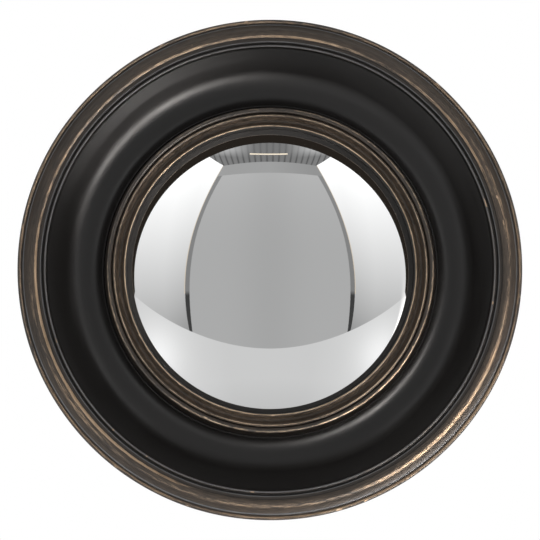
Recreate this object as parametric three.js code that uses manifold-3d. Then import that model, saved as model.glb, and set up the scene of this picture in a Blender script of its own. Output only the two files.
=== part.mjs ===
// A round convex mirror in a turned and moulded wooden frame, hung on a wall.
//
// Millimetres, +Z up. The turning axis is along Y: the mirror faces -Y and the wall is on the +Y side.
// The pieces are drawn about that axis, with the frame's flat back at y = 0. A profile point is (radius,
// height), where height is the distance in front of that back, so y = -height. At the end the whole
// mirror is moved so that the point where it hangs on its hook is the origin.

import * as THREE from "three";
import { mergeVertices } from "three/addons/utils/BufferGeometryUtils.js";
import Module from "manifold-3d";

const wasm = await Module();
wasm.setup();

// ---------------------------------------------------------------------------------------------
// Driving sizes
// ---------------------------------------------------------------------------------------------

const RING_SIDES = 60; // sides of every large turned ring
const SMALL_SIDES = 12; // sides of screws, pilot holes and wall bumpers
const GAP = 0.3; // between pieces that touch
const FIT_GAP = 0.4; // radial play of a ring or board in its seat

// Convex glass
const GLASS_RADIUS = 112; // of the cut blank
const GLASS_THICKNESS = 3;
const DOME_RADIUS = 238; // of the mirror's front face

// Back board and packing behind the glass
const BOARD_THICKNESS = 6;
const BOARD_MARGIN = 4.2; // how far the board reaches past the frame's through bore
const PACKING_DEPTH = 15; // from the board to the glass rim
const PACKING_WIDTH = 8;

// Sight ring
const LIP_OVERLAP = 3.8; // how far the lip covers the glass
const LIP_HEIGHT = 5; // of the lip wall, above the glass
const LIP_DRAFT = 0.9; // how far the lip wall leans outwards
const INNER_ARRIS_RADIUS = 0.95;
const HOLLOW_WIDTH = 5.5;
const HOLLOW_DEPTH = 3;
const THIN_BEAD_RADIUS = 1.2;
const BEAD_QUIRK_WIDTH = 1; // groove between thin bead and roll
const BEAD_QUIRK_DEPTH = 0.8; // below the thin bead's centre
const THIN_BEAD_LIFT = 0.6; // of the thin bead's centre, above the lip wall's top
const ROLL_RADIUS = 1.9; // outer roll of the sight ring
const ROLL_LIFT = 0.6;
const SIGHT_WALL_DRAFT = 1.6; // how far the outer wall leans in towards the roll
const SIGHT_WALL_DROP = 9; // from the roll's centre to where the wall turns upright

// Frame, from the back forwards
const LEDGE_THICKNESS = 7.7; // between the board's rebate and the sight ring's seat
const COVE_FLOOR_HEIGHT = 16; // wood behind the lowest point of the cove
const ARRIS_HEIGHT = 41; // centre of the rounded edge between cove and rim
const RIM_HEIGHT = 44; // crest of the rim bead

// Frame, from the sight ring outwards
const QUIRK_WIDTH = 1; // flat between the sight ring and the cove
const COVE_INNER_RADIUS = 12;
const COVE_INNER_ANGLE = 58; // degrees that the cove rises towards the sight ring
const COVE_OUTER_RADIUS = 21;
const COVE_OUTER_ANGLE = 45; // degrees at which the cove passes into its flank
const FLANK_WIDTH = 16.679;
const FLANK_SAG = 0.5; // how far the flank hollows under a straight line
const ARRIS_RADIUS = 1;
const GROOVE_WIDTH = 1.9;
const GROOVE_DEPTH = 1.4;
const FILLET_WIDTH = 2.9; // flat between groove and rim bead
const FILLET_DROP = 1; // below the rim bead's inner edge
const FILLET_DRAFT = 0.2; // how far that step leans outwards
const RIM_INNER_RADIUS = 2.8; // of the rim bead, from its crest inwards
const RIM_INNER_ANGLE = 60; // degrees that this curve turns
const RIM_OUTER_RADIUS = 5.5; // of the rim bead, from its crest outwards
const RIM_OUTER_ANGLE = 45;
const RIM_FLANK_WIDTH = 4.5; // from the outer curve down to the quirk
const RIM_FLANK_DROP = 3.8;
const RIM_FLANK_SAG = 0.25;
const QUIRK_GROOVE_WIDTH = 0.7; // between the rim bead and the edge bead
const QUIRK_GROOVE_DEPTH = 1;
const EDGE_BEAD_RADIUS = 1.55;

// Frame's outer side, behind the edge bead
const SIDE_STEP = 1; // the side stands in from the edge bead
const SIDE_TAPER = 6; // how far the side leans in on its way to the back
const SIDE_HOLLOW = 2;
const BACK_CHAMFER = 1.5;

// Fasteners
const SCREW_RADIUS = 1.5;
const PILOT_PLAY = 0.3;
const SCREW_POINT = 2.4; // length of the tapered end
const SIGHT_SCREW_LENGTH = 22;
const SIGHT_SCREW_HEAD = 3.2;
const SIGHT_SCREW_COUNT = 4;
const PIVOT_SCREW_LENGTH = 13;
const PIVOT_SCREW_HEAD = 3.6;
const PAN_HEAD_HEIGHT = 1.8;
const HEAD_ROUNDING = 0.7;

// Turn buttons
const BUTTON_COUNT = 4;
const BUTTON_THICKNESS = 1.6;
const BUTTON_BOSS_RADIUS = 6;
const BUTTON_TIP_RADIUS = 4;
const BUTTON_REACH = 20; // from the pivot to the centre of the round tip
const BUTTON_BITE = 8; // how far the tip's centre lies inside the board's edge

// D-ring hanger at the top
const STRAP_WIDTH = 14;
const STRAP_THICKNESS = 1.6;
const STRAP_LENGTH = 30; // from its lower end to the centre of the eye
const STRAP_EYE_WALL = 1;
const STRAP_END_MARGIN = 6; // from the lower end to the lower screw
const HANGER_SCREW_SPACING = 12;
const HANGER_SCREW_LENGTH = 15;
const HANGER_SETBACK = 21; // from the back's outer edge down to the eye
const RING_WIRE_RADIUS = 1.3;
const RING_WIRE_PLAY = 0.35;
const RING_SIDE_PLAY = 1.2; // between the strap's edge and the ring's corner
const RING_CORNER_RADIUS = 3;
const RING_HEIGHT = 19; // from the pivot to the top of the wire's centre line
const RING_TURNS = 36; // sections round the ring

// Wall bumpers
const BUMPER_COUNT = 4;
const BUMPER_RADIUS = 6;
const BUMPER_HEIGHT = 6;
const BUMPER_ROUNDING = 1.2;
const BUMPER_SETBACK = 10; // from the back's outer edge to a bumper's centre

// ---------------------------------------------------------------------------------------------
// Sizes worked out from the driving ones
// ---------------------------------------------------------------------------------------------

const DEGREE = Math.PI / 180;

// Heights of the board, packing and glass. The dome's centre lies on the axis.
const rebateHeight = BOARD_THICKNESS + GAP;
const seatHeight = rebateHeight + LEDGE_THICKNESS;
const packingTop = rebateHeight + PACKING_DEPTH;
const rimTilt = Math.asin(GLASS_RADIUS / DOME_RADIUS); // slope of the glass at its rim
const backRadius = DOME_RADIUS - GLASS_THICKNESS;
const backRimRadius = backRadius * Math.sin(rimTilt);
const domeCentreHeight = packingTop + GAP - backRadius * Math.cos(rimTilt);
const glassHeight = (radius) => domeCentreHeight + Math.sqrt(DOME_RADIUS ** 2 - radius ** 2);

// Radii of the sight ring, from the lip outwards
const lipRadius = GLASS_RADIUS - LIP_OVERLAP;
const lipBottom = glassHeight(lipRadius) + GAP;
const lipTop = lipBottom + LIP_HEIGHT;
const innerArris = lipRadius + LIP_DRAFT + INNER_ARRIS_RADIUS;
const hollowStart = innerArris + INNER_ARRIS_RADIUS;
const thinBead = hollowStart + HOLLOW_WIDTH + THIN_BEAD_RADIUS;
const roll = thinBead + THIN_BEAD_RADIUS + BEAD_QUIRK_WIDTH + ROLL_RADIUS;
const thinBeadHeight = lipTop + THIN_BEAD_LIFT;
const rollHeight = lipTop + ROLL_LIFT;
const sightOuterRadius = roll + ROLL_RADIUS + SIGHT_WALL_DRAFT;
const glassBore = GLASS_RADIUS + 2 * FIT_GAP;

// Radii of the frame, from its bore outwards
const throughBore = glassBore + FIT_GAP;
const boardRadius = throughBore + BOARD_MARGIN - FIT_GAP;
const rebateRadius = throughBore + BOARD_MARGIN;
const seatRadius = sightOuterRadius + FIT_GAP;
const coveStart = seatRadius + QUIRK_WIDTH;
const coveFloorRadius = coveStart + COVE_INNER_RADIUS * Math.sin(COVE_INNER_ANGLE * DEGREE);
const coveStartHeight = COVE_FLOOR_HEIGHT + COVE_INNER_RADIUS * (1 - Math.cos(COVE_INNER_ANGLE * DEGREE));
const flankStart = coveFloorRadius + COVE_OUTER_RADIUS * Math.sin(COVE_OUTER_ANGLE * DEGREE);
const flankStartHeight = COVE_FLOOR_HEIGHT + COVE_OUTER_RADIUS * (1 - Math.cos(COVE_OUTER_ANGLE * DEGREE));
const arris = flankStart + FLANK_WIDTH + ARRIS_RADIUS;
const grooveStart = arris + ARRIS_RADIUS;
const filletStart = grooveStart + GROOVE_WIDTH;
const beadStart = filletStart + FILLET_WIDTH;
const crest = beadStart + FILLET_DRAFT + RIM_INNER_RADIUS * Math.sin(RIM_INNER_ANGLE * DEGREE);
const beadStartHeight = RIM_HEIGHT - RIM_INNER_RADIUS * (1 - Math.cos(RIM_INNER_ANGLE * DEGREE));
const filletHeight = beadStartHeight - FILLET_DROP;
const rimFlankStart = crest + RIM_OUTER_RADIUS * Math.sin(RIM_OUTER_ANGLE * DEGREE);
const rimFlankHeight = RIM_HEIGHT - RIM_OUTER_RADIUS * (1 - Math.cos(RIM_OUTER_ANGLE * DEGREE));
const beadEnd = rimFlankStart + RIM_FLANK_WIDTH;
const beadEndHeight = rimFlankHeight - RIM_FLANK_DROP;
const edgeBead = beadEnd + QUIRK_GROOVE_WIDTH + EDGE_BEAD_RADIUS;
const edgeBeadHeight = beadEndHeight - EDGE_BEAD_RADIUS + GAP;
const frameRadius = edgeBead + EDGE_BEAD_RADIUS;
const sideTop = frameRadius - SIDE_STEP;
const backEdge = sideTop - SIDE_TAPER;

// Places of the hardware on the back
const sightScrewCircle = (rebateRadius + seatRadius) / 2;
const buttonCircle = boardRadius - BUTTON_BITE + BUTTON_REACH;
const bumperCircle = backEdge - BUMPER_SETBACK;
const bumperTurn = 180 / BUMPER_COUNT;
const buttonTurn = 180 / BUTTON_COUNT;
const eyeBore = RING_WIRE_RADIUS + RING_WIRE_PLAY;
const eyeRadius = eyeBore + STRAP_EYE_WALL;
const eyeZ = backEdge - HANGER_SETBACK;
const eyeY = GAP + eyeRadius;
const strapEndZ = eyeZ - STRAP_LENGTH;
const hangerScrewZ = [0, 1].map((step) => strapEndZ + STRAP_END_MARGIN + step * HANGER_SCREW_SPACING);
const ringHalfWidth = STRAP_WIDTH / 2 + RING_SIDE_PLAY + RING_CORNER_RADIUS;
const hookPoint = new THREE.Vector3(0, eyeY, eyeZ + RING_HEIGHT - RING_WIRE_RADIUS);

// ---------------------------------------------------------------------------------------------
// Tools for shapes
// ---------------------------------------------------------------------------------------------

// A profile point: LatheGeometry turns (x, y) about Y, and height is measured towards -Y.
function point(radius, height) {
  return new THREE.Vector2(radius, -height);
}

// Points along an arc, from one angle to another. 0 degrees points outwards and 90 forwards.
function arc(radius, height, size, startAngle, endAngle, steps) {
  const points = [];
  for (let step = 0; step <= steps; step += 1) {
    const angle = (startAngle + ((endAngle - startAngle) * step) / steps) * DEGREE;
    points.push(point(radius + size * Math.cos(angle), height + size * Math.sin(angle)));
  }
  return points;
}

// Points along a shallow curve between two points, pulled down by sag at its middle. The first and
// last point are left out, because the neighbouring forms hold them.
function hollow(start, end, sag, steps) {
  const middle = start.clone().lerp(end, 0.5);
  middle.y += 2 * sag;
  return new THREE.QuadraticBezierCurve(start, middle, end).getPoints(steps).slice(1, -1);
}

// A ring or disc turned about Y. The profile may start and end on the axis; otherwise it is closed.
function turned(profile, sides) {
  const outward = THREE.ShapeUtils.area(profile) > 0 ? profile : [...profile].reverse();
  const first = outward[0];
  const onAxis = first.x === 0 && outward[outward.length - 1].x === 0;
  return new THREE.LatheGeometry(onAxis ? outward : [...outward, first.clone()], sides);
}

// A boolean solid of a closed geometry.
function toSolid(geometry) {
  const bare = geometry.index ? geometry.toNonIndexed() : geometry.clone();
  bare.deleteAttribute("normal");
  bare.deleteAttribute("uv");
  const merged = mergeVertices(bare, 1e-4);
  return new wasm.Manifold(
    new wasm.Mesh({
      numProp: 3,
      vertProperties: merged.attributes.position.array,
      triVerts: new Uint32Array(merged.index.array),
    }),
  );
}

// A geometry of a boolean solid.
function toGeometry(solid) {
  const mesh = solid.getMesh();
  const geometry = new THREE.BufferGeometry();
  geometry.setAttribute("position", new THREE.BufferAttribute(mesh.vertProperties, 3));
  geometry.setIndex(new THREE.BufferAttribute(mesh.triVerts, 1));
  geometry.computeVertexNormals();
  return geometry;
}

// The geometry with every cutter taken out of it.
function cut(geometry, cutters) {
  return toGeometry(cutters.reduce((solid, cutter) => solid.subtract(toSolid(cutter)), toSolid(geometry)));
}

// Where copy number index of count stands on a circle about Y, counted from the top.
function onCircle(radius, count, index, turn) {
  const angle = (turn + (360 * index) / count) * DEGREE;
  return new THREE.Vector3(radius * Math.sin(angle), 0, radius * Math.cos(angle));
}

// A cutter for a screw's hole, from one height to another.
function pilotHole(place, from, to) {
  const radius = SCREW_RADIUS + PILOT_PLAY;
  const hole = turned([point(0, from), point(radius, from), point(radius, to), point(0, to)], SMALL_SIDES);
  return hole.translate(place.x, 0, place.z);
}

// A cutter for a countersunk head in the back: a right-angled cone that starts behind the back.
function countersink(place, from, headRadius) {
  const mouth = headRadius + PILOT_PLAY - from;
  const cone = turned([point(0, from), point(mouth, from), point(0, from + mouth)], SMALL_SIDES);
  return cone.translate(place.x, 0, place.z);
}

function finish(color, roughness, metalness) {
  return new THREE.MeshStandardMaterial({ color, roughness, metalness });
}

// ---------------------------------------------------------------------------------------------
// Finishes
// ---------------------------------------------------------------------------------------------

const BLACK_WAX = finish(0x2b2826, 0.42, 0);
const RUBBED_GILT = finish(0x5a4a3a, 0.45, 0.25);
const SILVERED_GLASS = finish(0xd8dadb, 0.03, 1);
const GREY_CARD = finish(0x8b8378, 0.95, 0);
const BROWN_BOARD = finish(0x8d6f4e, 0.85, 0);
const ZINC_STEEL = finish(0xb4b4b0, 0.35, 0.9);
const BRASSED_STEEL = finish(0xb08d4c, 0.35, 0.9);
const GREY_RUBBER = finish(0x6d6b68, 0.8, 0);

// ---------------------------------------------------------------------------------------------
// The pieces
// ---------------------------------------------------------------------------------------------

const mirror = new THREE.Group();

function add(name, geometry, material) {
  const mesh = new THREE.Mesh(geometry, material);
  mesh.name = name;
  mirror.add(mesh);
  return mesh;
}

// The cove: a tight curve up to the sight ring, a wide one outwards and a nearly straight flank.
function coveProfile() {
  const flankEnd = point(arris - ARRIS_RADIUS, ARRIS_HEIGHT);
  const inner = arc(
    coveFloorRadius,
    COVE_FLOOR_HEIGHT + COVE_INNER_RADIUS,
    COVE_INNER_RADIUS,
    -90 - COVE_INNER_ANGLE,
    -90,
    4,
  );
  const outer = arc(
    coveFloorRadius,
    COVE_FLOOR_HEIGHT + COVE_OUTER_RADIUS,
    COVE_OUTER_RADIUS,
    -90,
    -90 + COVE_OUTER_ANGLE,
    4,
  );
  const flank = hollow(outer[outer.length - 1], flankEnd, FLANK_SAG, 3);
  return [...inner, ...outer.slice(1), ...flank];
}

// The rim: arris, groove, fillet, the wide bead with its crest and flank, a quirk and the edge bead.
function rimProfile() {
  const innerTurn = 90 + RIM_INNER_ANGLE;
  const outerTurn = 90 - RIM_OUTER_ANGLE;
  const flank = [point(rimFlankStart, rimFlankHeight), point(beadEnd, beadEndHeight)];
  return [
    ...arc(arris, ARRIS_HEIGHT, ARRIS_RADIUS, 180, 0, 3),
    point(grooveStart + GROOVE_WIDTH / 2, filletHeight - GROOVE_DEPTH),
    point(filletStart, filletHeight),
    point(beadStart, filletHeight),
    ...arc(crest, RIM_HEIGHT - RIM_INNER_RADIUS, RIM_INNER_RADIUS, innerTurn, 90, 3),
    ...arc(crest, RIM_HEIGHT - RIM_OUTER_RADIUS, RIM_OUTER_RADIUS, 90, outerTurn, 3).slice(1),
    ...hollow(flank[0], flank[1], RIM_FLANK_SAG, 2),
    flank[1],
    point(beadEnd + QUIRK_GROOVE_WIDTH / 2, beadEndHeight - QUIRK_GROOVE_DEPTH),
    ...arc(edgeBead, edgeBeadHeight, EDGE_BEAD_RADIUS, 160, -60, 5),
  ];
}

// The side: a small step in behind the edge bead, then a hollow taper to the back.
function sideProfile() {
  const top = point(sideTop, edgeBeadHeight - EDGE_BEAD_RADIUS);
  const bottom = point(backEdge, BACK_CHAMFER);
  const curve = new THREE.QuadraticBezierCurve(
    top,
    new THREE.Vector2((top.x + bottom.x) / 2 - SIDE_HOLLOW, (top.y + bottom.y) / 2),
    bottom,
  );
  return [...curve.getPoints(4), point(backEdge - BACK_CHAMFER, 0)];
}

// The frame body: one turned ring with its rebate and seat, and the screws' holes.
function frameBody() {
  const profile = [
    point(rebateRadius, 0),
    point(rebateRadius, rebateHeight),
    point(throughBore, rebateHeight),
    point(throughBore, seatHeight),
    point(seatRadius, seatHeight),
    point(seatRadius, coveStartHeight),
    ...coveProfile(),
    ...rimProfile(),
    ...sideProfile(),
  ];
  const behind = -1; // the cutters start this far behind the back
  const holes = [];
  for (let index = 0; index < SIGHT_SCREW_COUNT; index += 1) {
    const place = onCircle(sightScrewCircle, SIGHT_SCREW_COUNT, index, 0);
    holes.push(pilotHole(place, behind, seatHeight + GAP));
    holes.push(countersink(place, behind, SIGHT_SCREW_HEAD));
  }
  for (let index = 0; index < BUTTON_COUNT; index += 1) {
    const place = onCircle(buttonCircle, BUTTON_COUNT, index, buttonTurn);
    holes.push(pilotHole(place, behind, pivotScrewTip() + PILOT_PLAY));
  }
  for (const z of hangerScrewZ) {
    holes.push(pilotHole(new THREE.Vector3(0, 0, z), behind, hangerScrewTip() + PILOT_PLAY));
  }
  return cut(turned(profile, RING_SIDES), holes);
}

// The sight ring: bored for the glass, bevelled under the lip to the slope of the dome.
function sightRing() {
  const hollowEnd = point(thinBead - THIN_BEAD_RADIUS, thinBeadHeight);
  const quirkMiddle = thinBead + THIN_BEAD_RADIUS + BEAD_QUIRK_WIDTH / 2;
  const innerRoll = arc(innerArris, lipTop, INNER_ARRIS_RADIUS, 180, 0, 4);
  const profile = [
    point(glassBore, seatHeight + GAP),
    point(glassBore, glassHeight(GLASS_RADIUS) + GAP),
    point(lipRadius, lipBottom),
    ...innerRoll,
    ...hollow(innerRoll[innerRoll.length - 1], hollowEnd, HOLLOW_DEPTH, 5),
    ...arc(thinBead, thinBeadHeight, THIN_BEAD_RADIUS, 180, 0, 4),
    point(quirkMiddle, thinBeadHeight - BEAD_QUIRK_DEPTH),
    ...arc(roll, rollHeight, ROLL_RADIUS, 180, 0, 5),
    point(sightOuterRadius, rollHeight - SIGHT_WALL_DROP),
    point(sightOuterRadius, seatHeight + GAP),
  ];
  const holes = [];
  for (let index = 0; index < SIGHT_SCREW_COUNT; index += 1) {
    const place = onCircle(sightScrewCircle, SIGHT_SCREW_COUNT, index, 0);
    holes.push(pilotHole(place, seatHeight, SIGHT_SCREW_LENGTH + GAP + PILOT_PLAY));
  }
  return cut(turned(profile, RING_SIDES), holes);
}

// The glass: a slumped blank of even thickness, its rim ground square to the dome.
function convexGlass() {
  const edge = rimTilt / DEGREE;
  const front = arc(0, domeCentreHeight, DOME_RADIUS, 90 - edge, 90, 7);
  const back = arc(0, domeCentreHeight, backRadius, 90, 90 - edge, 6);
  front[front.length - 1].x = 0;
  back[0].x = 0;
  return turned([...back, ...front], RING_SIDES);
}

// The packing ring: its top is bevelled to lie against the back of the glass rim.
function packingRing() {
  const outer = GLASS_RADIUS;
  const inner = outer - PACKING_WIDTH;
  const backHeight = (radius) => domeCentreHeight - GAP + Math.sqrt(backRadius ** 2 - radius ** 2);
  return turned(
    [
      point(inner, rebateHeight),
      point(outer, rebateHeight),
      point(outer, packingTop - GAP),
      point(backRimRadius, backHeight(backRimRadius)),
      point(inner, backHeight(inner)),
    ],
    RING_SIDES,
  );
}

// The back board: a plain disc, flush with the back, its rear edge eased.
function backBoard() {
  const ease = BACK_CHAMFER / 2;
  return turned(
    [
      point(0, 0),
      point(boardRadius - ease, 0),
      point(boardRadius, ease),
      point(boardRadius, BOARD_THICKNESS),
      point(0, BOARD_THICKNESS),
    ],
    RING_SIDES,
  );
}

// How far in front of the back each kind of screw reaches.
function pivotScrewTip() {
  return PIVOT_SCREW_LENGTH - BUTTON_THICKNESS - 2 * GAP;
}

function hangerScrewTip() {
  return HANGER_SCREW_LENGTH - STRAP_THICKNESS - 2 * GAP;
}

// A pan-head screw whose head's underside lies at a given height, and its tip at another.
function panScrew(headHeight, tipHeight) {
  return turned(
    [
      point(0, headHeight - PAN_HEAD_HEIGHT),
      point(PIVOT_SCREW_HEAD - HEAD_ROUNDING, headHeight - PAN_HEAD_HEIGHT),
      point(PIVOT_SCREW_HEAD, headHeight - PAN_HEAD_HEIGHT + HEAD_ROUNDING),
      point(PIVOT_SCREW_HEAD, headHeight),
      point(SCREW_RADIUS, headHeight),
      point(SCREW_RADIUS, tipHeight - SCREW_POINT),
      point(0, tipHeight),
    ],
    SMALL_SIDES,
  );
}

// A countersunk screw, its head just under the back.
function sightScrew() {
  return turned(
    [
      point(0, GAP),
      point(SIGHT_SCREW_HEAD - GAP, GAP),
      point(SCREW_RADIUS, SIGHT_SCREW_HEAD - SCREW_RADIUS),
      point(SCREW_RADIUS, SIGHT_SCREW_LENGTH + GAP - SCREW_POINT),
      point(0, SIGHT_SCREW_LENGTH + GAP),
    ],
    SMALL_SIDES,
  );
}

// A turn button: a round boss on the pivot and an arm that narrows to a round tip. It is drawn with
// the arm along +X and its thickness along +Z.
function turnButton() {
  const taper = Math.acos((BUTTON_BOSS_RADIUS - BUTTON_TIP_RADIUS) / BUTTON_REACH);
  const shape = new THREE.Shape();
  shape.absarc(0, 0, BUTTON_BOSS_RADIUS, taper, 2 * Math.PI - taper, false);
  shape.absarc(BUTTON_REACH, 0, BUTTON_TIP_RADIUS, -taper, taper, false);
  shape.closePath();
  const hole = new THREE.Path();
  hole.absarc(0, 0, SCREW_RADIUS + FIT_GAP, 0, 2 * Math.PI, true);
  shape.holes.push(hole);
  const depth = BUTTON_THICKNESS;
  return new THREE.ExtrudeGeometry(shape, { depth, bevelEnabled: false, curveSegments: 6 });
}

// The strap of the hanger: a side outline with the eye at its top, cut across and drilled.
function hangerStrap() {
  const top = eyeY - eyeRadius + STRAP_THICKNESS;
  const join = Math.acos((eyeY - top) / eyeRadius);
  const side = new THREE.Shape();
  side.moveTo(GAP, strapEndZ);
  side.lineTo(top, strapEndZ);
  side.lineTo(top, eyeZ - eyeRadius * Math.sin(join));
  side.absarc(eyeY, eyeZ, eyeRadius, Math.PI + join, Math.PI, false);
  side.closePath();
  const eye = new THREE.Path();
  eye.absarc(eyeY, eyeZ, eyeBore, 0, 2 * Math.PI, true);
  side.holes.push(eye);
  const depth = STRAP_WIDTH;
  const strap = new THREE.ExtrudeGeometry(side, { depth, bevelEnabled: false, curveSegments: 8 });
  // Shape x runs along Y, shape y along Z and the extrusion along X.
  const turn = new THREE.Matrix4().makeBasis(
    new THREE.Vector3(0, 1, 0),
    new THREE.Vector3(0, 0, 1),
    new THREE.Vector3(1, 0, 0),
  );
  strap.applyMatrix4(turn).translate(-STRAP_WIDTH / 2, 0, 0);
  const holes = hangerScrewZ.map((z) =>
    pilotHole(new THREE.Vector3(0, 0, z), -2 * STRAP_THICKNESS - GAP, STRAP_THICKNESS),
  );
  return cut(strap, holes);
}

// The centre line of the D-ring's wire in its own plane: a straight bar and a round top.
class RingWire extends THREE.Curve {
  constructor() {
    super();
    const topRadius = ringHalfWidth;
    const corner = RING_CORNER_RADIUS;
    this.outline = new THREE.Path();
    this.outline.moveTo(0, 0);
    this.outline.lineTo(ringHalfWidth - corner, 0);
    this.outline.absarc(ringHalfWidth - corner, corner, corner, -Math.PI / 2, 0, false);
    this.outline.absarc(0, RING_HEIGHT - topRadius, topRadius, 0, Math.PI, false);
    this.outline.absarc(corner - ringHalfWidth, corner, corner, Math.PI, 1.5 * Math.PI, false);
    this.outline.lineTo(0, 0);
  }

  getPoint(t) {
    const place = this.outline.getPointAt(t % 1);
    return new THREE.Vector3(place.x, 0, place.y);
  }
}

// The D-ring: its wire closes on itself.
function hangerRing() {
  return new THREE.TubeGeometry(new RingWire(), RING_TURNS, RING_WIRE_RADIUS, 8, true);
}

// A wall bumper, its outer edge rounded, standing on the back.
function wallBumper() {
  const top = -GAP - BUMPER_HEIGHT;
  return turned(
    [
      point(0, -GAP),
      point(BUMPER_RADIUS, -GAP),
      point(BUMPER_RADIUS, top + BUMPER_ROUNDING),
      point(BUMPER_RADIUS - BUMPER_ROUNDING, top),
      point(0, top),
    ],
    SMALL_SIDES,
  );
}

add("frame_body", frameBody(), BLACK_WAX);
add("sight_ring", sightRing(), RUBBED_GILT);
add("convex_glass", convexGlass(), SILVERED_GLASS);
add("packing_ring", packingRing(), GREY_CARD);
add("back_board", backBoard(), BROWN_BOARD);

for (let index = 0; index < SIGHT_SCREW_COUNT; index += 1) {
  const screw = add(`sight_screw_${index + 1}`, sightScrew(), ZINC_STEEL);
  screw.position.copy(onCircle(sightScrewCircle, SIGHT_SCREW_COUNT, index, 0));
}

for (let index = 0; index < BUTTON_COUNT; index += 1) {
  const place = onCircle(buttonCircle, BUTTON_COUNT, index, buttonTurn);
  const button = add(`turn_button_${index + 1}`, turnButton(), BRASSED_STEEL);
  // The arm points at the axis and the thickness away from the back.
  const arm = place.clone().negate().normalize();
  const outwards = new THREE.Vector3(0, 1, 0);
  const across = outwards.clone().cross(arm);
  button.setRotationFromMatrix(new THREE.Matrix4().makeBasis(arm, across, outwards));
  button.position.set(place.x, GAP, place.z);
  const headHeight = -BUTTON_THICKNESS - 2 * GAP;
  const screw = add(`pivot_screw_${index + 1}`, panScrew(headHeight, pivotScrewTip()), ZINC_STEEL);
  screw.position.copy(place);
}

add("hanger_strap", hangerStrap(), ZINC_STEEL);
const ring = add("hanger_ring", hangerRing(), ZINC_STEEL);
ring.position.set(0, eyeY, eyeZ);
hangerScrewZ.forEach((z, index) => {
  const headHeight = -STRAP_THICKNESS - 2 * GAP;
  const screw = add(`hanger_screw_${index + 1}`, panScrew(headHeight, hangerScrewTip()), ZINC_STEEL);
  screw.position.set(0, 0, z);
});

for (let index = 0; index < BUMPER_COUNT; index += 1) {
  const bumper = add(`wall_bumper_${index + 1}`, wallBumper(), GREY_RUBBER);
  bumper.position.copy(onCircle(bumperCircle, BUMPER_COUNT, index, bumperTurn));
}

// The hook bears on the inside of the D-ring's top: that point becomes the origin.
mirror.position.copy(hookPoint).negate();
const model = new THREE.Group();
model.add(mirror);

export default model;
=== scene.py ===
"""The looks of a round convex mirror in a turned, lacquered and rubbed frame.

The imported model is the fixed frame. Every piece here stands where its node stands, in metres. Turned
forms are given by profiles of (radius, height), where the height is the distance in front of the
frame's flat back, so it grows towards -Y.
"""

import logging
import math
from collections.abc import Callable, Sequence
from dataclasses import dataclass, field
from enum import Enum

import bmesh
import bpy
import numpy as np
from mathutils import Matrix, Vector

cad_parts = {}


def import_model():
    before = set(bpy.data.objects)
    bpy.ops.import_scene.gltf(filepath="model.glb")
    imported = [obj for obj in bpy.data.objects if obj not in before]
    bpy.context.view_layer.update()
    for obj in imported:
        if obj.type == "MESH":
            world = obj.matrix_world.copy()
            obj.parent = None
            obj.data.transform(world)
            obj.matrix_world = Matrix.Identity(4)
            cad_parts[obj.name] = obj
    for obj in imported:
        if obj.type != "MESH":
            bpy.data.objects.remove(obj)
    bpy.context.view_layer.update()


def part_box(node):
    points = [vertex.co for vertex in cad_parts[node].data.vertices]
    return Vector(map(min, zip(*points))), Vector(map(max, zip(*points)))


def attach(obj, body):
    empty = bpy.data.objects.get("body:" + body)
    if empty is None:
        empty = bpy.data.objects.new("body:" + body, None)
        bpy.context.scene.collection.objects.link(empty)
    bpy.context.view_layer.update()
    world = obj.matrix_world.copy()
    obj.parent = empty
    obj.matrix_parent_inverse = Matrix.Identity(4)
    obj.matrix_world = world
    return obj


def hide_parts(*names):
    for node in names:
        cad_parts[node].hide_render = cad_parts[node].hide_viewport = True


LOG = logging.getLogger("convex_mirror")
MM = 0.001
DEGREE = math.pi / 180

WELD = 1e-7  # points nearer than this are one, in metres
NOISE_LOW, NOISE_HIGH = 0.3, 0.7  # most of a noise lies between these

Colour = tuple[float, float, float]
Place = tuple[float, float]
Socket = bpy.types.NodeSocket


# ----------------------------------------
# Node trees
# ----------------------------------------


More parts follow.
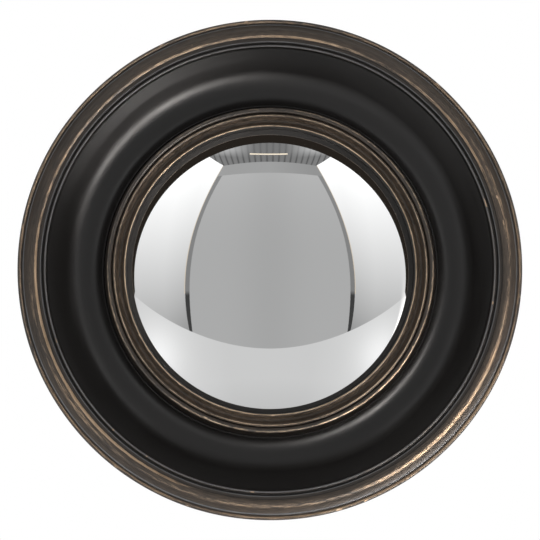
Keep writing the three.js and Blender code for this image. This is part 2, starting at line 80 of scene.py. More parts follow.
class Tree:
    """A small hand for writing one material's node tree."""

    def __init__(self, name: str) -> None:
        """Starts an empty material.

        Args:
            name: The material's name.
        """
        self.material = bpy.data.materials.new(name)
        self.material.use_nodes = True
        self.nodes = self.material.node_tree.nodes
        self.links = self.material.node_tree.links
        self.nodes.clear()
        self.output = self.nodes.new("ShaderNodeOutputMaterial")

    def _feed(self, socket: Socket, value: "Socket | float | Sequence[float]") -> None:
        """Links a socket to another, or sets its constant.

        Args:
            socket: The input to feed.
            value: An output socket or a constant.
        """
        if isinstance(value, bpy.types.NodeSocket):
            self.links.new(value, socket)
        elif socket.type == "RGBA":
            socket.default_value = (*value[:3], 1.0)
        else:
            socket.default_value = value

    def attribute(self, name: str) -> Socket:
        """Reads a number stored on the mesh.

        Args:
            name: The attribute's name.

        Returns:
            Its value as a factor.
        """
        node = self.nodes.new("ShaderNodeAttribute")
        node.attribute_name = name
        return node.outputs["Fac"]

    def lathe(self) -> Socket:
        """Reads the place on a turned surface.

        Returns:
            The vector (cos, sin, length along the profile).
        """
        node = self.nodes.new("ShaderNodeAttribute")
        node.attribute_name = "lathe"
        return node.outputs["Vector"]

    def towards(self, lathe: Socket, clock: float) -> Socket:
        """Tells how near a place on a turning is to one clock angle.

        Args:
            lathe: The place on the turned surface.
            clock: The angle in degrees, clockwise from the top.

        Returns:
            1 there, 0 at right angles to it and -1 opposite.
        """
        node = self.nodes.new("ShaderNodeVectorMath")
        node.operation = "DOT_PRODUCT"
        self.links.new(lathe, node.inputs[0])
        node.inputs[1].default_value = (math.cos(clock * DEGREE), math.sin(clock * DEGREE), 0)
        return node.outputs["Value"]

    def place(self) -> Socket:
        """Returns the place in the piece's own space."""
        return self.nodes.new("ShaderNodeTexCoord").outputs["Object"]

    def scaled(self, vector: Socket, scale: Sequence[float], shift: Sequence[float] = (0, 0, 0)) -> Socket:
        """Scales a vector.

        Args:
            vector: The vector to scale.
            scale: The scale along each axis.
            shift: What is added afterwards.

        Returns:
            The scaled vector.
        """
        node = self.nodes.new("ShaderNodeMapping")
        self._feed(node.inputs["Vector"], vector)
        node.inputs["Scale"].default_value = scale
        node.inputs["Location"].default_value = shift
        return node.outputs["Vector"]

    def noise(self, vector: Socket, scale: float, detail: float = 4.0, rough: float = 0.55) -> Socket:
        """Makes cloudy noise.

        Args:
            vector: Where it is read.
            scale: Its frequency.
            detail: The number of finer layers.
            rough: How strong the finer layers are.

        Returns:
            A value around 0.5.
        """
        node = self.nodes.new("ShaderNodeTexNoise")
        self._feed(node.inputs["Vector"], vector)
        node.inputs["Scale"].default_value = scale
        node.inputs["Detail"].default_value = detail
        node.inputs["Roughness"].default_value = rough
        return node.outputs["Fac"]

    def cells(self, vector: Socket, scale: float, spread: float = 1.0) -> tuple[Socket, Socket]:
        """Makes random cells, for specks and fibres.

        Args:
            vector: Where they are read.
            scale: Cells in a unit of length.
            spread: How irregular the cells are.

        Returns:
            The distance to each cell's middle, and the cell's own random colour.
        """
        node = self.nodes.new("ShaderNodeTexVoronoi")
        self._feed(node.inputs["Vector"], vector)
        node.inputs["Scale"].default_value = scale
        node.inputs["Randomness"].default_value = spread
        return node.outputs["Distance"], node.outputs["Color"]

    def range(
        self, value: Socket, low: float, high: float, to_low: float = 0.0, to_high: float = 1.0
    ) -> Socket:
        """Maps a range of values to another and stops at its ends.

        Args:
            value: The value to map.
            low: The value that gives to_low.
            high: The value that gives to_high.
            to_low: The result at low.
            to_high: The result at high.

        Returns:
            The mapped value.
        """
        node = self.nodes.new("ShaderNodeMapRange")
        node.interpolation_type = "SMOOTHSTEP"
        self._feed(node.inputs["Value"], value)
        node.inputs["From Min"].default_value = low
        node.inputs["From Max"].default_value = high
        node.inputs["To Min"].default_value = to_low
        node.inputs["To Max"].default_value = to_high
        return node.outputs["Result"]

    def spread(self, noise: Socket, to_low: float = 0.0, to_high: float = 1.0) -> Socket:
        """Maps a noise, from where most of it lies, to a range of values."""
        return self.range(noise, NOISE_LOW, NOISE_HIGH, to_low, to_high)

    def sum(self, operation: str, first: "Socket | float", second: "Socket | float" = 0.0) -> Socket:
        """Works out one operation on two values, held between 0 and 1.

        Args:
            operation: Blender's name of the operation.
            first: The first value.
            second: The second value.

        Returns:
            The result.
        """
        node = self.nodes.new("ShaderNodeMath")
        node.operation = operation
        node.use_clamp = True
        self._feed(node.inputs[0], first)
        self._feed(node.inputs[1], second)
        return node.outputs["Value"]

    def blend(self, factor: Socket, first: "Socket | Colour", second: "Socket | Colour") -> Socket:
        """Blends two colours.

        Args:
            factor: 0 gives the first colour and 1 the second.
            first: The first colour.
            second: The second colour.

        Returns:
            The blended colour.
        """
        node = self.nodes.new("ShaderNodeMix")
        node.data_type = "RGBA"
        self._feed(node.inputs["Factor"], factor)
        self._feed(node.inputs["A"], first)
        self._feed(node.inputs["B"], second)
        return node.outputs["Result"]

    def bump(self, height: Socket, strength: float, depth: float, below: "Socket | None" = None) -> Socket:
        """Turns a height into a surface normal.

        Args:
            height: The height, from 0 to 1.
            strength: How strong the bump is.
            depth: The height of 1, in metres.
            below: The normal that it lies on.

        Returns:
            The normal.
        """
        node = self.nodes.new("ShaderNodeBump")
        node.inputs["Strength"].default_value = strength
        node.inputs["Distance"].default_value = depth
        self._feed(node.inputs["Height"], height)
        if below is not None:
            self._feed(node.inputs["Normal"], below)
        return node.outputs["Normal"]

    def surface(self, **inputs: "Socket | float | Sequence[float]") -> bpy.types.Material:
        """Ends the tree in a Principled shader.

        Args:
            inputs: The shader's inputs, with underscores for the spaces in their names.

        Returns:
            The finished material.
        """
        shader = self.nodes.new("ShaderNodeBsdfPrincipled")
        for name, value in inputs.items():
            self._feed(shader.inputs[name.replace("_", " ")], value)
        self.links.new(shader.outputs["BSDF"], self.output.inputs["Surface"])
        return self.material


# ----------------------------------------
# Finishes
# ----------------------------------------


@dataclass(frozen=True)
class Specks:
    """A thin scatter of specks in a finish."""

    colour: Colour
    cells: float
    inner: float
    outer: float
    strength: float
    shift: Sequence[float] = (0.0, 0.0, 0.0)

    def over(self, t: Tree, ground: Socket, share: float) -> Socket:
        """Lays the specks over a colour.

        Args:
            t: The material's tree.
            ground: The colour that they lie on.
            share: How many of the cells hold a speck.

        Returns:
            The specked colour.
        """
        distance, tint = t.cells(t.scaled(t.place(), (1, 1, 1), self.shift), self.cells)
        few = t.range(tint, 1.0 - share, 1.01 - share)
        speck = t.sum("MULTIPLY", t.range(distance, self.inner, self.outer, 1.0, 0.0), few)
        return t.blend(t.sum("MULTIPLY", speck, self.strength), ground, self.colour)


PALE_SPECKS = Specks((0.45, 0.42, 0.38), cells=260.0, inner=0.07, outer=0.11, strength=0.75)
RED_SPECKS = Specks(
    (0.09, 0.018, 0.012), cells=190.0, inner=0.06, outer=0.12, strength=0.8, shift=(0.31, 0.17, 0.53)
)


@dataclass(frozen=True)
class RubbedLacquer:
    """Satin lacquer over brown wax, rubbed through to gilding on the high places.

    The mesh says where: "rub" for the gilding on crests, "brown" for the wax, "line" for the pale
    grey wax along the fine edges, and one more number for the dark in quirks, hollows and joints,
    which is painted shade with some grime. The gilding is also set by side, as painted highlight and
    shade: it is rubbed most on the key light's side, the lower right, except on stretches marked as
    lying in shade there, and least a little left of the top, where no highlight falls, on the
    stretches marked for it. Both sides are in degrees, clockwise from the top.
    """

    name: str
    lacquer: Colour
    brown: Colour
    brown_worn: Colour
    gilding: Colour
    gilding_worn: Colour
    pale_wax: Colour
    shade_and_grime: Colour
    shine: float
    speck_share: float
    # The next five set the gilding by side: more where the key light's highlight falls, at the lower right,
    # and less a little left of the top. This is painted highlight and shade over the rubbed gilding.
    unlit_loss: float = 0.0
    unlit_clock: float = -15.0
    lit_side_clock: float = 135.0
    lit_side_gain: float = 1.4
    shade_bare_gain: float = 1.6
    streak_ragged: float = 0.2
    patch_ragged: float = 0.14
    wax_dulls: float = 0.08
    rub_dulls: float = 0.03
    shade_and_grime_dulls: float = 0.4
    metal: float = 0.75

    def _rubbed(self, t: Tree, lathe: Socket, streaks: Socket, patches: Socket) -> Socket:
        """Works out where the gilding shows through, set by side as painted highlight and shade.

        Args:
            t: The material's tree.
            lathe: The place on the turned surface.
            streaks: The fine noise along the turning.
            patches: The broad noise.

        Returns:
            The gilding's share, with ragged edges.
        """
        toward_lit_side = t.towards(lathe, self.lit_side_clock)
        unlit_share = t.range(t.towards(lathe, self.unlit_clock), -0.1, 0.85, 0.0, self.unlit_loss)
        shade_share = t.range(toward_lit_side, 0.1, 0.9, 0.0, self.shade_bare_gain)
        lit_boost = t.range(toward_lit_side, 0.7, 1.0, 1.0, self.lit_side_gain)
        ragged = t.sum("MULTIPLY", t.attribute("rub"), lit_boost)
        ragged = t.sum("SUBTRACT", ragged, t.sum("MULTIPLY", unlit_share, t.attribute("bare_where_unlit")))
        ragged = t.sum("SUBTRACT", ragged, t.sum("MULTIPLY", t.attribute("bare_in_shade"), shade_share))
        ragged = t.sum("ADD", ragged, t.spread(streaks, -self.streak_ragged, self.streak_ragged))
        ragged = t.sum("ADD", ragged, t.spread(patches, -self.patch_ragged, self.patch_ragged))
        return t.range(ragged, 0.36, 0.86)

    def make(self) -> bpy.types.Material:
        """Builds the material.

        Returns:
            The material.
        """
        t = Tree(self.name)
        lathe = t.lathe()
        streaks = t.noise(t.scaled(lathe, (20, 20, 2100)), 1.0, 5.0, 0.62)
        long_streaks = t.noise(t.scaled(lathe, (6, 6, 3200), (3, 1, 7)), 1.0, 3.0, 0.6)
        patches = t.noise(t.scaled(lathe, (2.2, 2.2, 60), (9, 4, 2)), 1.0, 3.0, 0.5)
        grain = t.noise(t.place(), 900.0, 3.0, 0.6)

        wax = t.sum("MULTIPLY", t.attribute("brown"), t.range(patches, 0.25, 0.6, 0.6, 1.0))
        # Painted shade in quirks, hollows and joints, with some grime.
        shade_and_grime_share = t.attribute("shade_and_grime")
        line = t.sum("MULTIPLY", t.attribute("line"), t.range(long_streaks, 0.3, 0.55, 0.35, 1.0))
        rub = self._rubbed(t, lathe, streaks, patches)

        wax_colour = t.blend(t.range(streaks, 0.38, 0.66), self.brown, self.brown_worn)
        leaf = t.blend(t.range(long_streaks, 0.35, 0.65), self.gilding_worn, self.gilding)
        colour = t.blend(wax, self.lacquer, wax_colour)
        for share, layer in ((shade_and_grime_share, self.shade_and_grime), (line, self.pale_wax), (rub, leaf)):
            colour = t.blend(share, colour, layer)
        for specks in (PALE_SPECKS, RED_SPECKS):
            colour = specks.over(t, colour, self.speck_share)

        dull = t.spread(patches, self.shine - 0.04, self.shine + 0.05)
        dull = t.sum("ADD", dull, t.spread(grain, -0.015, 0.02))
        for share, rise in ((wax, self.wax_dulls), (rub, self.rub_dulls), (shade_and_grime_share, self.shade_and_grime_dulls)):
            dull = t.sum("ADD", dull, t.sum("MULTIPLY", share, rise))
        gleam = t.range(t.sum("ADD", rub, line), 0.0, 1.0, 0.0, self.metal)
        normal = t.bump(grain, 0.012, 0.00005)
        normal = t.bump(streaks, 0.014, 0.00007, normal)
        return t.surface(Base_Color=colour, Roughness=dull, Metallic=gleam, Normal=normal, IOR=1.6)


@dataclass(frozen=True)
class BlackedBack:
    """Thin matt black over bare wood, with the turner's fine rings showing through."""

    name: str = "blacked_back"
    paint: Colour = (0.019, 0.017, 0.016)
    worn: Colour = (0.052, 0.04, 0.03)

    def make(self) -> bpy.types.Material:
        """Builds the material.

        Returns:
            The material.
        """
        t = Tree(self.name)
        rings = t.noise(t.scaled(t.lathe(), (3, 3, 1500)), 1.0, 4.0, 0.6)
        wood = t.noise(t.scaled(t.place(), (35, 35, 420)), 1.0, 5.0, 0.65)
        cloud = t.noise(t.place(), 22.0, 4.0, 0.6)
        thin = t.sum("MULTIPLY", t.range(wood, 0.45, 0.75), t.range(cloud, 0.35, 0.65))
        thin = t.sum("MAXIMUM", thin, t.attribute("rub"))
        colour = t.blend(thin, self.paint, self.worn)
        normal = t.bump(rings, 0.25, 0.00012)
        normal = t.bump(wood, 0.3, 0.0002, normal)
        return t.surface(Base_Color=colour, Roughness=t.spread(cloud, 0.6, 0.78), Normal=normal)


@dataclass(frozen=True)
class Silvering:
    """Silver seen through clear glass."""

    name: str = "silvered_glass"
    silver: Colour = (0.93, 0.935, 0.935)

    def make(self) -> bpy.types.Material:
        """Builds the material.

        Returns:
            The material.
        """
        t = Tree(self.name)
        haze = t.noise(t.place(), 30.0, 2.0, 0.5)
        return t.surface(Base_Color=self.silver, Metallic=1.0, Roughness=t.spread(haze, 0.012, 0.022))


@dataclass(frozen=True)
class GroundEdge:
    """The ground edge of the glass blank, greenish and frosted."""

    name: str = "ground_glass_edge"
    tint: Colour = (0.42, 0.52, 0.48)

    def make(self) -> bpy.types.Material:
        """Builds the material.

        Returns:
            The material.
        """
        t = Tree(self.name)
        frost = t.noise(t.place(), 1200.0, 2.0, 0.6)
        colour = t.blend(t.spread(frost), self.tint, (0.6, 0.68, 0.65))
        return t.surface(Base_Color=colour, Roughness=0.5, Normal=t.bump(frost, 0.3, 0.00005), IOR=1.52)


@dataclass(frozen=True)
class BackingPaint:
    """The grey paint that covers the silver behind the glass."""

    name: str = "backing_paint"
    grey: Colour = (0.2, 0.21, 0.22)

    def make(self) -> bpy.types.Material:
        """Builds the material.

        Returns:
            The material.
        """
        t = Tree(self.name)
        runs = t.noise(t.scaled(t.place(), (60, 60, 12)), 1.0, 3.0, 0.6)
        colour = t.blend(t.range(runs, 0.35, 0.65), self.grey, (0.25, 0.26, 0.27))
        return t.surface(Base_Color=colour, Roughness=0.55, Normal=t.bump(runs, 0.2, 0.0001))


@dataclass(frozen=True)
class Fibre:
    """Pressed fibres: brown board or grey card."""

    name: str
    ground: Colour
    light: Colour
    dark: Colour

    def make(self) -> bpy.types.Material:
        """Builds the material.

        Returns:
            The material.
        """
        t = Tree(self.name)
        place = t.place()
        cloud = t.noise(place, 18.0, 4.0, 0.6)
        hairs = t.noise(t.scaled(place, (2400, 900, 500)), 1.0, 3.0, 0.7)
        cross_hairs = t.noise(t.scaled(place, (450, 900, 2300), (5, 2, 8)), 1.0, 3.0, 0.7)
        distance, tint = t.cells(place, 420.0)
        chip = t.sum("MULTIPLY", t.range(distance, 0.1, 0.25, 1.0, 0.0), t.range(tint, 0.62, 0.7))
        colour = t.blend(t.spread(cloud, 0.0, 0.45), self.ground, self.light)
        colour = t.blend(t.range(hairs, 0.5, 0.72, 0.0, 0.6), colour, self.light)
        colour = t.blend(t.range(cross_hairs, 0.5, 0.75, 0.0, 0.6), colour, self.dark)
        colour = t.blend(t.sum("MULTIPLY", chip, 0.7), colour, self.dark)
        normal = t.bump(hairs, 0.25, 0.00008)
        normal = t.bump(cross_hairs, 0.25, 0.00008, normal)
        return t.surface(Base_Color=colour, Roughness=0.86, Normal=normal)


@dataclass(frozen=True)
class Plate:
    """Thin metal plating on pressed or turned steel."""

    name: str
    bright: Colour
    dull: Colour
    roughness: float

    def make(self) -> bpy.types.Material:
        """Builds the material.

        Returns:
            The material.
        """
        t = Tree(self.name)
        place = t.place()
        cloud = t.noise(place, 160.0, 4.0, 0.6)
        scratch = t.noise(t.scaled(place, (300, 300, 6000)), 1.0, 2.0, 0.6)
        spot, tint = t.cells(place, 900.0)
        stain = t.sum("MULTIPLY", t.range(spot, 0.1, 0.3, 1.0, 0.0), t.range(tint, 0.7, 0.8))
        colour = t.blend(t.range(cloud, 0.35, 0.7), self.bright, self.dull)
        colour = t.blend(t.sum("MULTIPLY", stain, 0.4), colour, self.dull)
        dull = t.spread(cloud, self.roughness - 0.06, self.roughness + 0.1)
        normal = t.bump(scratch, 0.12, 0.00003)
        return t.surface(Base_Color=colour, Metallic=1.0, Roughness=dull, Normal=normal)


@dataclass(frozen=True)
class Rubber:
    """Matt moulded rubber with a fine spark texture and a little dust."""

    name: str = "grey_rubber"
    grey: Colour = (0.15, 0.147, 0.143)
    dusty: Colour = (0.22, 0.215, 0.205)

    def make(self) -> bpy.types.Material:
        """Builds the material.

        Returns:
            The material.
        """
        t = Tree(self.name)
        place = t.place()
        spark = t.noise(place, 2600.0, 2.0, 0.6)
        dust = t.noise(place, 190.0, 4.0, 0.6)
        colour = t.blend(t.range(dust, 0.45, 0.7), self.grey, self.dusty)
        return t.surface(Base_Color=colour, Roughness=0.8, Normal=t.bump(spark, 0.35, 0.00005))


FRAME_LACQUER = RubbedLacquer(
    name="black_frame",
    lacquer=(0.0085, 0.0073, 0.0067),
    brown=(0.046, 0.033, 0.0235),
    brown_worn=(0.108, 0.079, 0.055),
    gilding=(0.7, 0.52, 0.36),
    gilding_worn=(0.36, 0.245, 0.15),
    pale_wax=(0.3, 0.31, 0.325),
    # The darkest colour: painted shade for quirks, hollows and joints, with some grime.
    shade_and_grime=(0.0075, 0.006, 0.0055),
    shine=0.37,
    speck_share=0.016,
    unlit_loss=0.48,
)
SIGHT_LACQUER = RubbedLacquer(
    name="gilt_slip",
    lacquer=(0.016, 0.0125, 0.01),
    brown=(0.034, 0.024, 0.017),
    brown_worn=(0.13, 0.093, 0.063),
    gilding=(0.88, 0.69, 0.49),
    gilding_worn=(0.42, 0.3, 0.19),
    pale_wax=(0.33, 0.33, 0.33),
    # The darkest colour: painted shade for quirks, hollows and joints, with some grime.
    shade_and_grime=(0.0085, 0.0068, 0.006),
    shine=0.38,
    speck_share=0.012,
)
BACK_BLACK = BlackedBack()
SILVER = Silvering()
GLASS_EDGE = GroundEdge()
BACKING = BackingPaint()
BROWN_BOARD = Fibre("board_brown", (0.235, 0.15, 0.083), (0.36, 0.245, 0.145), (0.1, 0.06, 0.033))
GREY_CARD = Fibre("packing_card", (0.27, 0.235, 0.19), (0.38, 0.34, 0.28), (0.14, 0.12, 0.1))
ZINC = Plate("zinc_steel", (0.74, 0.75, 0.76), (0.5, 0.51, 0.52), 0.3)
BRASS = Plate("brassed_steel", (0.78, 0.58, 0.27), (0.5, 0.35, 0.15), 0.3)
GREY_RUBBER = Rubber()


class Slot(Enum):
    """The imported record's material slots."""

    FRAME = "black_frame"
    SLIP = "gilt_slip"
    GLASS = "silvered_glass"
    CARD = "packing_card"
    BOARD = "board_brown"
    ZINC = "zinc_steel"
    BRASS = "brassed_steel"
    RUBBER = "grey_rubber"


# ----------------------------------------
# Turned forms
# ----------------------------------------


@dataclass(frozen=True)
class Datum:
    """The middle of the frame's flat back, which the turned forms are measured from."""

    x: float
    y: float
    z: float

    @classmethod
    def of(cls, node: str) -> "Datum":
        """Finds it from a node that is round about the turning axis and ends at the flat back."""
        low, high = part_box(node)
        return cls((low.x + high.x) / 2, high.y, (low.z + high.z) / 2)

    def at(self, radius: float, height: float, angle: float) -> Vector:
        """Gives a place by its radius, its height over the back and its clock angle, in mm and radians.

        Args:
            radius: The distance from the turning axis.
            height: The distance in front of the flat back.
            angle: Clockwise from the top, as seen from in front.

        Returns:
            The place in metres.
        """
        return Vector(
            (
                self.x + radius * MM * math.sin(angle),
                self.y - height * MM,
                self.z + radius * MM * math.cos(angle),
            )
        )


@dataclass(frozen=True)
class Wear:
    """What a stretch of profile looks like: gilding, brown wax, pale wax and painted shade with grime, from 0
    to 1.

    The last two mark painted shade: a stretch that keeps its lacquer on the lower right, where it lies in
    shade, and one that keeps it on the upper left, where no highlight falls.
    """

    rub: float = 0.0
    brown: float = 0.0
    line: float = 0.0
    shade_and_grime: float = 0.0
    # These two mark painted shade: where gilding gives way to lacquer by side.
    bare_in_shade: float = 0.0
    bare_where_unlit: float = 1.0


PLAIN = Wear()
WEAR_NAMES = ("rub", "brown", "line", "shade_and_grime", "bare_in_shade", "bare_where_unlit")
RUB_MOST = 1.4
NICK_RUB = 4.0  # rub that a nick adds for each mm of its depth
NICK_RUB_MOST = 0.7


@dataclass
class Profile:
    """A profile that is drawn point by point, each with its wear and its finish."""

    radii: list[float] = field(default_factory=list)
    heights: list[float] = field(default_factory=list)
    wears: list[Wear] = field(default_factory=list)
    finishes: list[int] = field(default_factory=list)
    finish: int = 0

    def go(self, radius: float, height: float, wear: Wear = PLAIN) -> "Profile":
        """Adds one point, in mm.

        Args:
            radius: The point's radius.
            height: The point's height.
            wear: How it is worn.

        Returns:
            The profile itself.
        """
        self.radii.append(radius)
        self.heights.append(height)
        self.wears.append(wear)
        self.finishes.append(self.finish)
        return self

    def line(self, radius: float, height: float, steps: int, wear: Wear = PLAIN) -> "Profile":
        """Adds a straight stretch from the last point.

        Args:
            radius: The stretch's last radius.
            height: The stretch's last height.
            steps: The number of points on it.
            wear: How it is worn.

        Returns:
            The profile itself.
        """
        r, h = self.radii[-1], self.heights[-1]
        for step in range(1, steps + 1):
            share = step / steps
            self.go(r + (radius - r) * share, h + (height - h) * share, wear)
        return self

    def bend(self, middle: Place, end: Place, steps: int, wear: Wear = PLAIN) -> "Profile":
        """Adds a smooth curve from the last point.

        Args:
            middle: The radius and height that it is drawn towards.
            end: The radius and height where it ends.
            steps: The number of points on it.
            wear: How it is worn.

        Returns:
            The profile itself.
        """
        r, h = self.radii[-1], self.heights[-1]
        for step in range(1, steps + 1):
            t = step / steps
            a, b, c = (1 - t) ** 2, 2 * t * (1 - t), t * t
            self.go(a * r + b * middle[0] + c * end[0], a * h + b * middle[1] + c * end[1], wear)
        return self

    def sag(self, radius: float, height: float, depth: float, steps: int, wear: Wear = PLAIN) -> "Profile":
        """Adds a shallow hollow from the last point.

        Args:
            radius: The hollow's last radius.
            height: The hollow's last height.
            depth: How far its middle lies under a straight line.
            steps: The number of points on it.
            wear: How it is worn.

        Returns:
            The profile itself.
        """
        middle = (self.radii[-1] + radius) / 2, (self.heights[-1] + height) / 2 - 2 * depth
        return self.bend(middle, (radius, height), steps, wear)

    def arc(
        self,
        radius: float,
        height: float,
        size: float,
        start: float,
        end: float,
        steps: int,
        wear: "Wear | Callable[[float], Wear]" = PLAIN,
    ) -> "Profile":
        """Adds an arc.

        Args:
            radius: The radius of the arc's centre.
            height: The height of the arc's centre.
            size: The arc's own radius.
            start: Its first angle in degrees; 0 points outwards and 90 forwards.
            end: Its last angle.
            steps: The number of its steps.
            wear: How it is worn, or how it is worn at each angle.

        Returns:
            The profile itself.
        """
        for step in range(steps + 1):
            angle = start + (end - start) * step / steps
            worn = wear(angle) if callable(wear) else wear
            self.go(
                radius + size * math.cos(angle * DEGREE),
                height + size * math.sin(angle * DEGREE),
                worn,
            )
        return self


def crest_wear(
    base: Wear, rub: float, top: float, spread: float, line: float = 0.0
) -> Callable[[float], Wear]:
    """Makes the wear of a rounded crest, strongest at one angle.

    Args:
        base: The wear away from the crest.
        rub: The gilding at the crest.
        top: The angle that is rubbed most, in degrees.
        spread: How many degrees away the rub ends.
        line: The pale wax at the crest.

    Returns:
        The wear at each angle.
    """

    def worn(angle: float) -> Wear:
        """Works out the wear at one angle.

        Args:
            angle: The angle on the arc, in degrees.

        Returns:
            The wear there.
        """
        near = max(0.0, 1 - abs(angle - top) / spread)
        soft = near * near * (3 - 2 * near)
        return Wear(
            base.rub + (rub - base.rub) * soft,
            base.brown,
            base.line + (line - base.line) * soft,
            base.shade_and_grime * (1 - soft),
            base.bare_in_shade,
            base.bare_where_unlit,
        )

    return worn


@dataclass(frozen=True)
class Nick:
    """A small knock in a turned edge."""

    angle: float
    radius: float
    height: float
    length: float
    width: float
    depth: float


@dataclass(frozen=True)
class HandWork:
    """The small irregularities of a hand-finished turning, in mm.

    Each wave has its count round the turning, its size and its start. The waves set in at one
    radius and are full a little further out, and they fade towards the back.
    """

    waves: Sequence[tuple[int, float, float]] = (
        (3, 0.1, 0.4),
        (5, 0.06, 2.1),
        (8, 0.045, 4.4),
        (13, 0.03, 1.3),
    )
    nicks: Sequence[Nick] = ()
    starts: float = 128.0
    grows_over: float = 30.0
    front_gain: float = 1.6

    def radial(self, angle: np.ndarray) -> np.ndarray:
        """Gives how far the radius falls short round the turning; it is never more than the true one.

        Args:
            angle: The clock angles.

        Returns:
            The shortfall at each, 0 or more.
        """
        total = sum(size for _, size, _ in self.waves)
        wave = sum(size * np.sin(count * angle + start) for count, size, start in self.waves)
        return total - wave


class Turning:
    """A ring or disc, turned about the axis of a datum."""

    def __init__(
        self, name: str, profile: Profile, closed: bool, sides: int, hand: "HandWork | None" = None
    ) -> None:
        """Keeps what the turning is made of.

        Args:
            name: The piece's name.
            profile: Its profile, in mm.
            closed: Whether the profile closes on itself.
            sides: The number of sides.
            hand: Its irregularities.
        """
        self.name = name
        self.profile = profile
        self.closed = closed
        self.sides = sides
        self.hand = hand or HandWork(waves=())

    def _wobbled(self, angle: np.ndarray) -> tuple[np.ndarray, np.ndarray, np.ndarray]:
        """Works out every point's radius and height, and how deep it lies in a nick.

        Args:
            angle: The clock angle of each side.

        Returns:
            Radii, heights and nick depths, each of (side, profile point).
        """
        radius = np.array(self.profile.radii)[None, :].repeat(self.sides, 0)
        height = np.array(self.profile.heights)[None, :].repeat(self.sides, 0)
        dent = np.zeros_like(radius)
        if self.hand.waves:
            front = np.clip((height - height.min()) / np.ptp(height) * self.hand.front_gain, 0, 1)
            out = np.clip((radius - self.hand.starts) / self.hand.grows_over, 0, 1)
            radius = radius - self.hand.radial(angle)[:, None] * front * out
        for nick in self.hand.nicks:
            along = (np.mod(angle - nick.angle + math.pi, 2 * math.pi) - math.pi) * nick.radius / nick.length
            across = np.hypot(radius - nick.radius, height - nick.height) / nick.width
            share = np.clip(1 - along[:, None] ** 2 - across**2, 0, 1)
            dent = np.maximum(dent, share * nick.depth)
        return radius, height - dent, dent

    def make(self, datum: Datum, materials: Sequence[bpy.types.Material]) -> bpy.types.Object:
        """Builds the mesh.

        Args:
            datum: Where it stands.
            materials: The finishes that the profile numbers.

        Returns:
            The new object.
        """
        angle = np.arange(self.sides) * (2 * math.pi / self.sides)
        radius, height, dent = self._wobbled(angle)
        count = radius.shape[1]
        x = datum.x + radius * MM * np.sin(angle)[:, None]
        y = datum.y - height * MM
        z = datum.z + radius * MM * np.cos(angle)[:, None]
        points = np.stack([x, y, z], -1).reshape(-1, 3)
        side = np.arange(self.sides)
        following = (side + 1) % self.sides
        spans = count if self.closed else count - 1
        faces, finishes = [], []
        for span in range(spans):
            other = (span + 1) % count
            here, there = side * count, following * count
            faces.append(np.stack([here + span, there + span, there + other, here + other], 1))
            finishes += [self.profile.finishes[other]] * self.sides
        mesh = bpy.data.meshes.new(self.name)
        mesh.from_pydata(points.tolist(), [], np.concatenate(faces).tolist())
        for material in materials:
            mesh.materials.append(material)
        mesh.polygons.foreach_set("material_index", finishes)
        self._store(mesh, angle, dent)
        tidy(mesh)
        return linked(self.name, mesh)

    def _store(self, mesh: bpy.types.Mesh, angle: np.ndarray, dent: np.ndarray) -> None:
        """Stores the wear and the place on the lathe on the mesh's points.

        Args:
            mesh: The new mesh.
            angle: The clock angle of each side.
            dent: How deep each point lies in a nick, in mm.
        """
        radii, heights = np.array(self.profile.radii), np.array(self.profile.heights)
        steps = np.hypot(np.diff(radii), np.diff(heights))
        length = np.concatenate([[0], np.cumsum(steps)]) * MM
        lathe = np.zeros((self.sides, len(radii), 3))
        lathe[..., 0] = np.cos(angle)[:, None]
        lathe[..., 1] = np.sin(angle)[:, None]
        lathe[..., 2] = length[None, :]
        stored = mesh.attributes.new("lathe", "FLOAT_VECTOR", "POINT")
        stored.data.foreach_set("vector", lathe.astype(np.float32).ravel())
        for name in WEAR_NAMES:
            along = np.array([getattr(wear, name) for wear in self.profile.wears])
            values = along[None, :].repeat(self.sides, 0)
            if name == "rub":
                values = np.clip(values + np.clip(dent * NICK_RUB, 0, NICK_RUB_MOST), 0, RUB_MOST)
            stored = mesh.attributes.new(name, "FLOAT", "POINT")
            stored.data.foreach_set("value", values.astype(np.float32).ravel())


def tidy(mesh: bpy.types.Mesh, sharp_degrees: float = 38.0) -> None:
    """Welds doubled points, turns the faces outwards and shades them smooth up to an angle.

    Args:
        mesh: The mesh to tidy.
        sharp_degrees: Edges that bend more than this stay sharp.
    """
    work = bmesh.new()
    work.from_mesh(mesh)
    bmesh.ops.remove_doubles(work, verts=work.verts, dist=WELD)
    bmesh.ops.dissolve_degenerate(work, edges=work.edges, dist=WELD / 10)
    bmesh.ops.recalc_face_normals(work, faces=work.faces)
    for face in work.faces:
        face.smooth = True
    for edge in work.edges:
        if len(edge.link_faces) == 2:
            edge.smooth = edge.calc_face_angle(0.0) < sharp_degrees * DEGREE
    work.to_mesh(mesh)
    work.free()
    mesh.update()


def linked(name: str, mesh: bpy.types.Mesh) -> bpy.types.Object:
    """Puts a mesh into the scene.

    Args:
        name: The object's name.
        mesh: Its mesh.

    Returns:
        The new object.
    """
    obj = bpy.data.objects.new(name, mesh)
    bpy.context.scene.collection.objects.link(obj)
    return obj


def place_piece(obj: bpy.types.Object, body: str, slot: Slot, *nodes: str) -> bpy.types.Object:
    """Lets a piece ride on its body and stand for its nodes.

    Args:
        obj: The piece.
        body: The CAD body.
        slot: The record's material slot; not used.
        nodes: The CAD nodes that it stands for.

    Returns:
        The piece.
    """
    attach(obj, body)
    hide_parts(*nodes)
    LOG.info("%s rides on %s and stands for %s", obj.name, body, ", ".join(nodes))
    return obj


# ----------------------------------------
# The frame and its sight ring
# ----------------------------------------


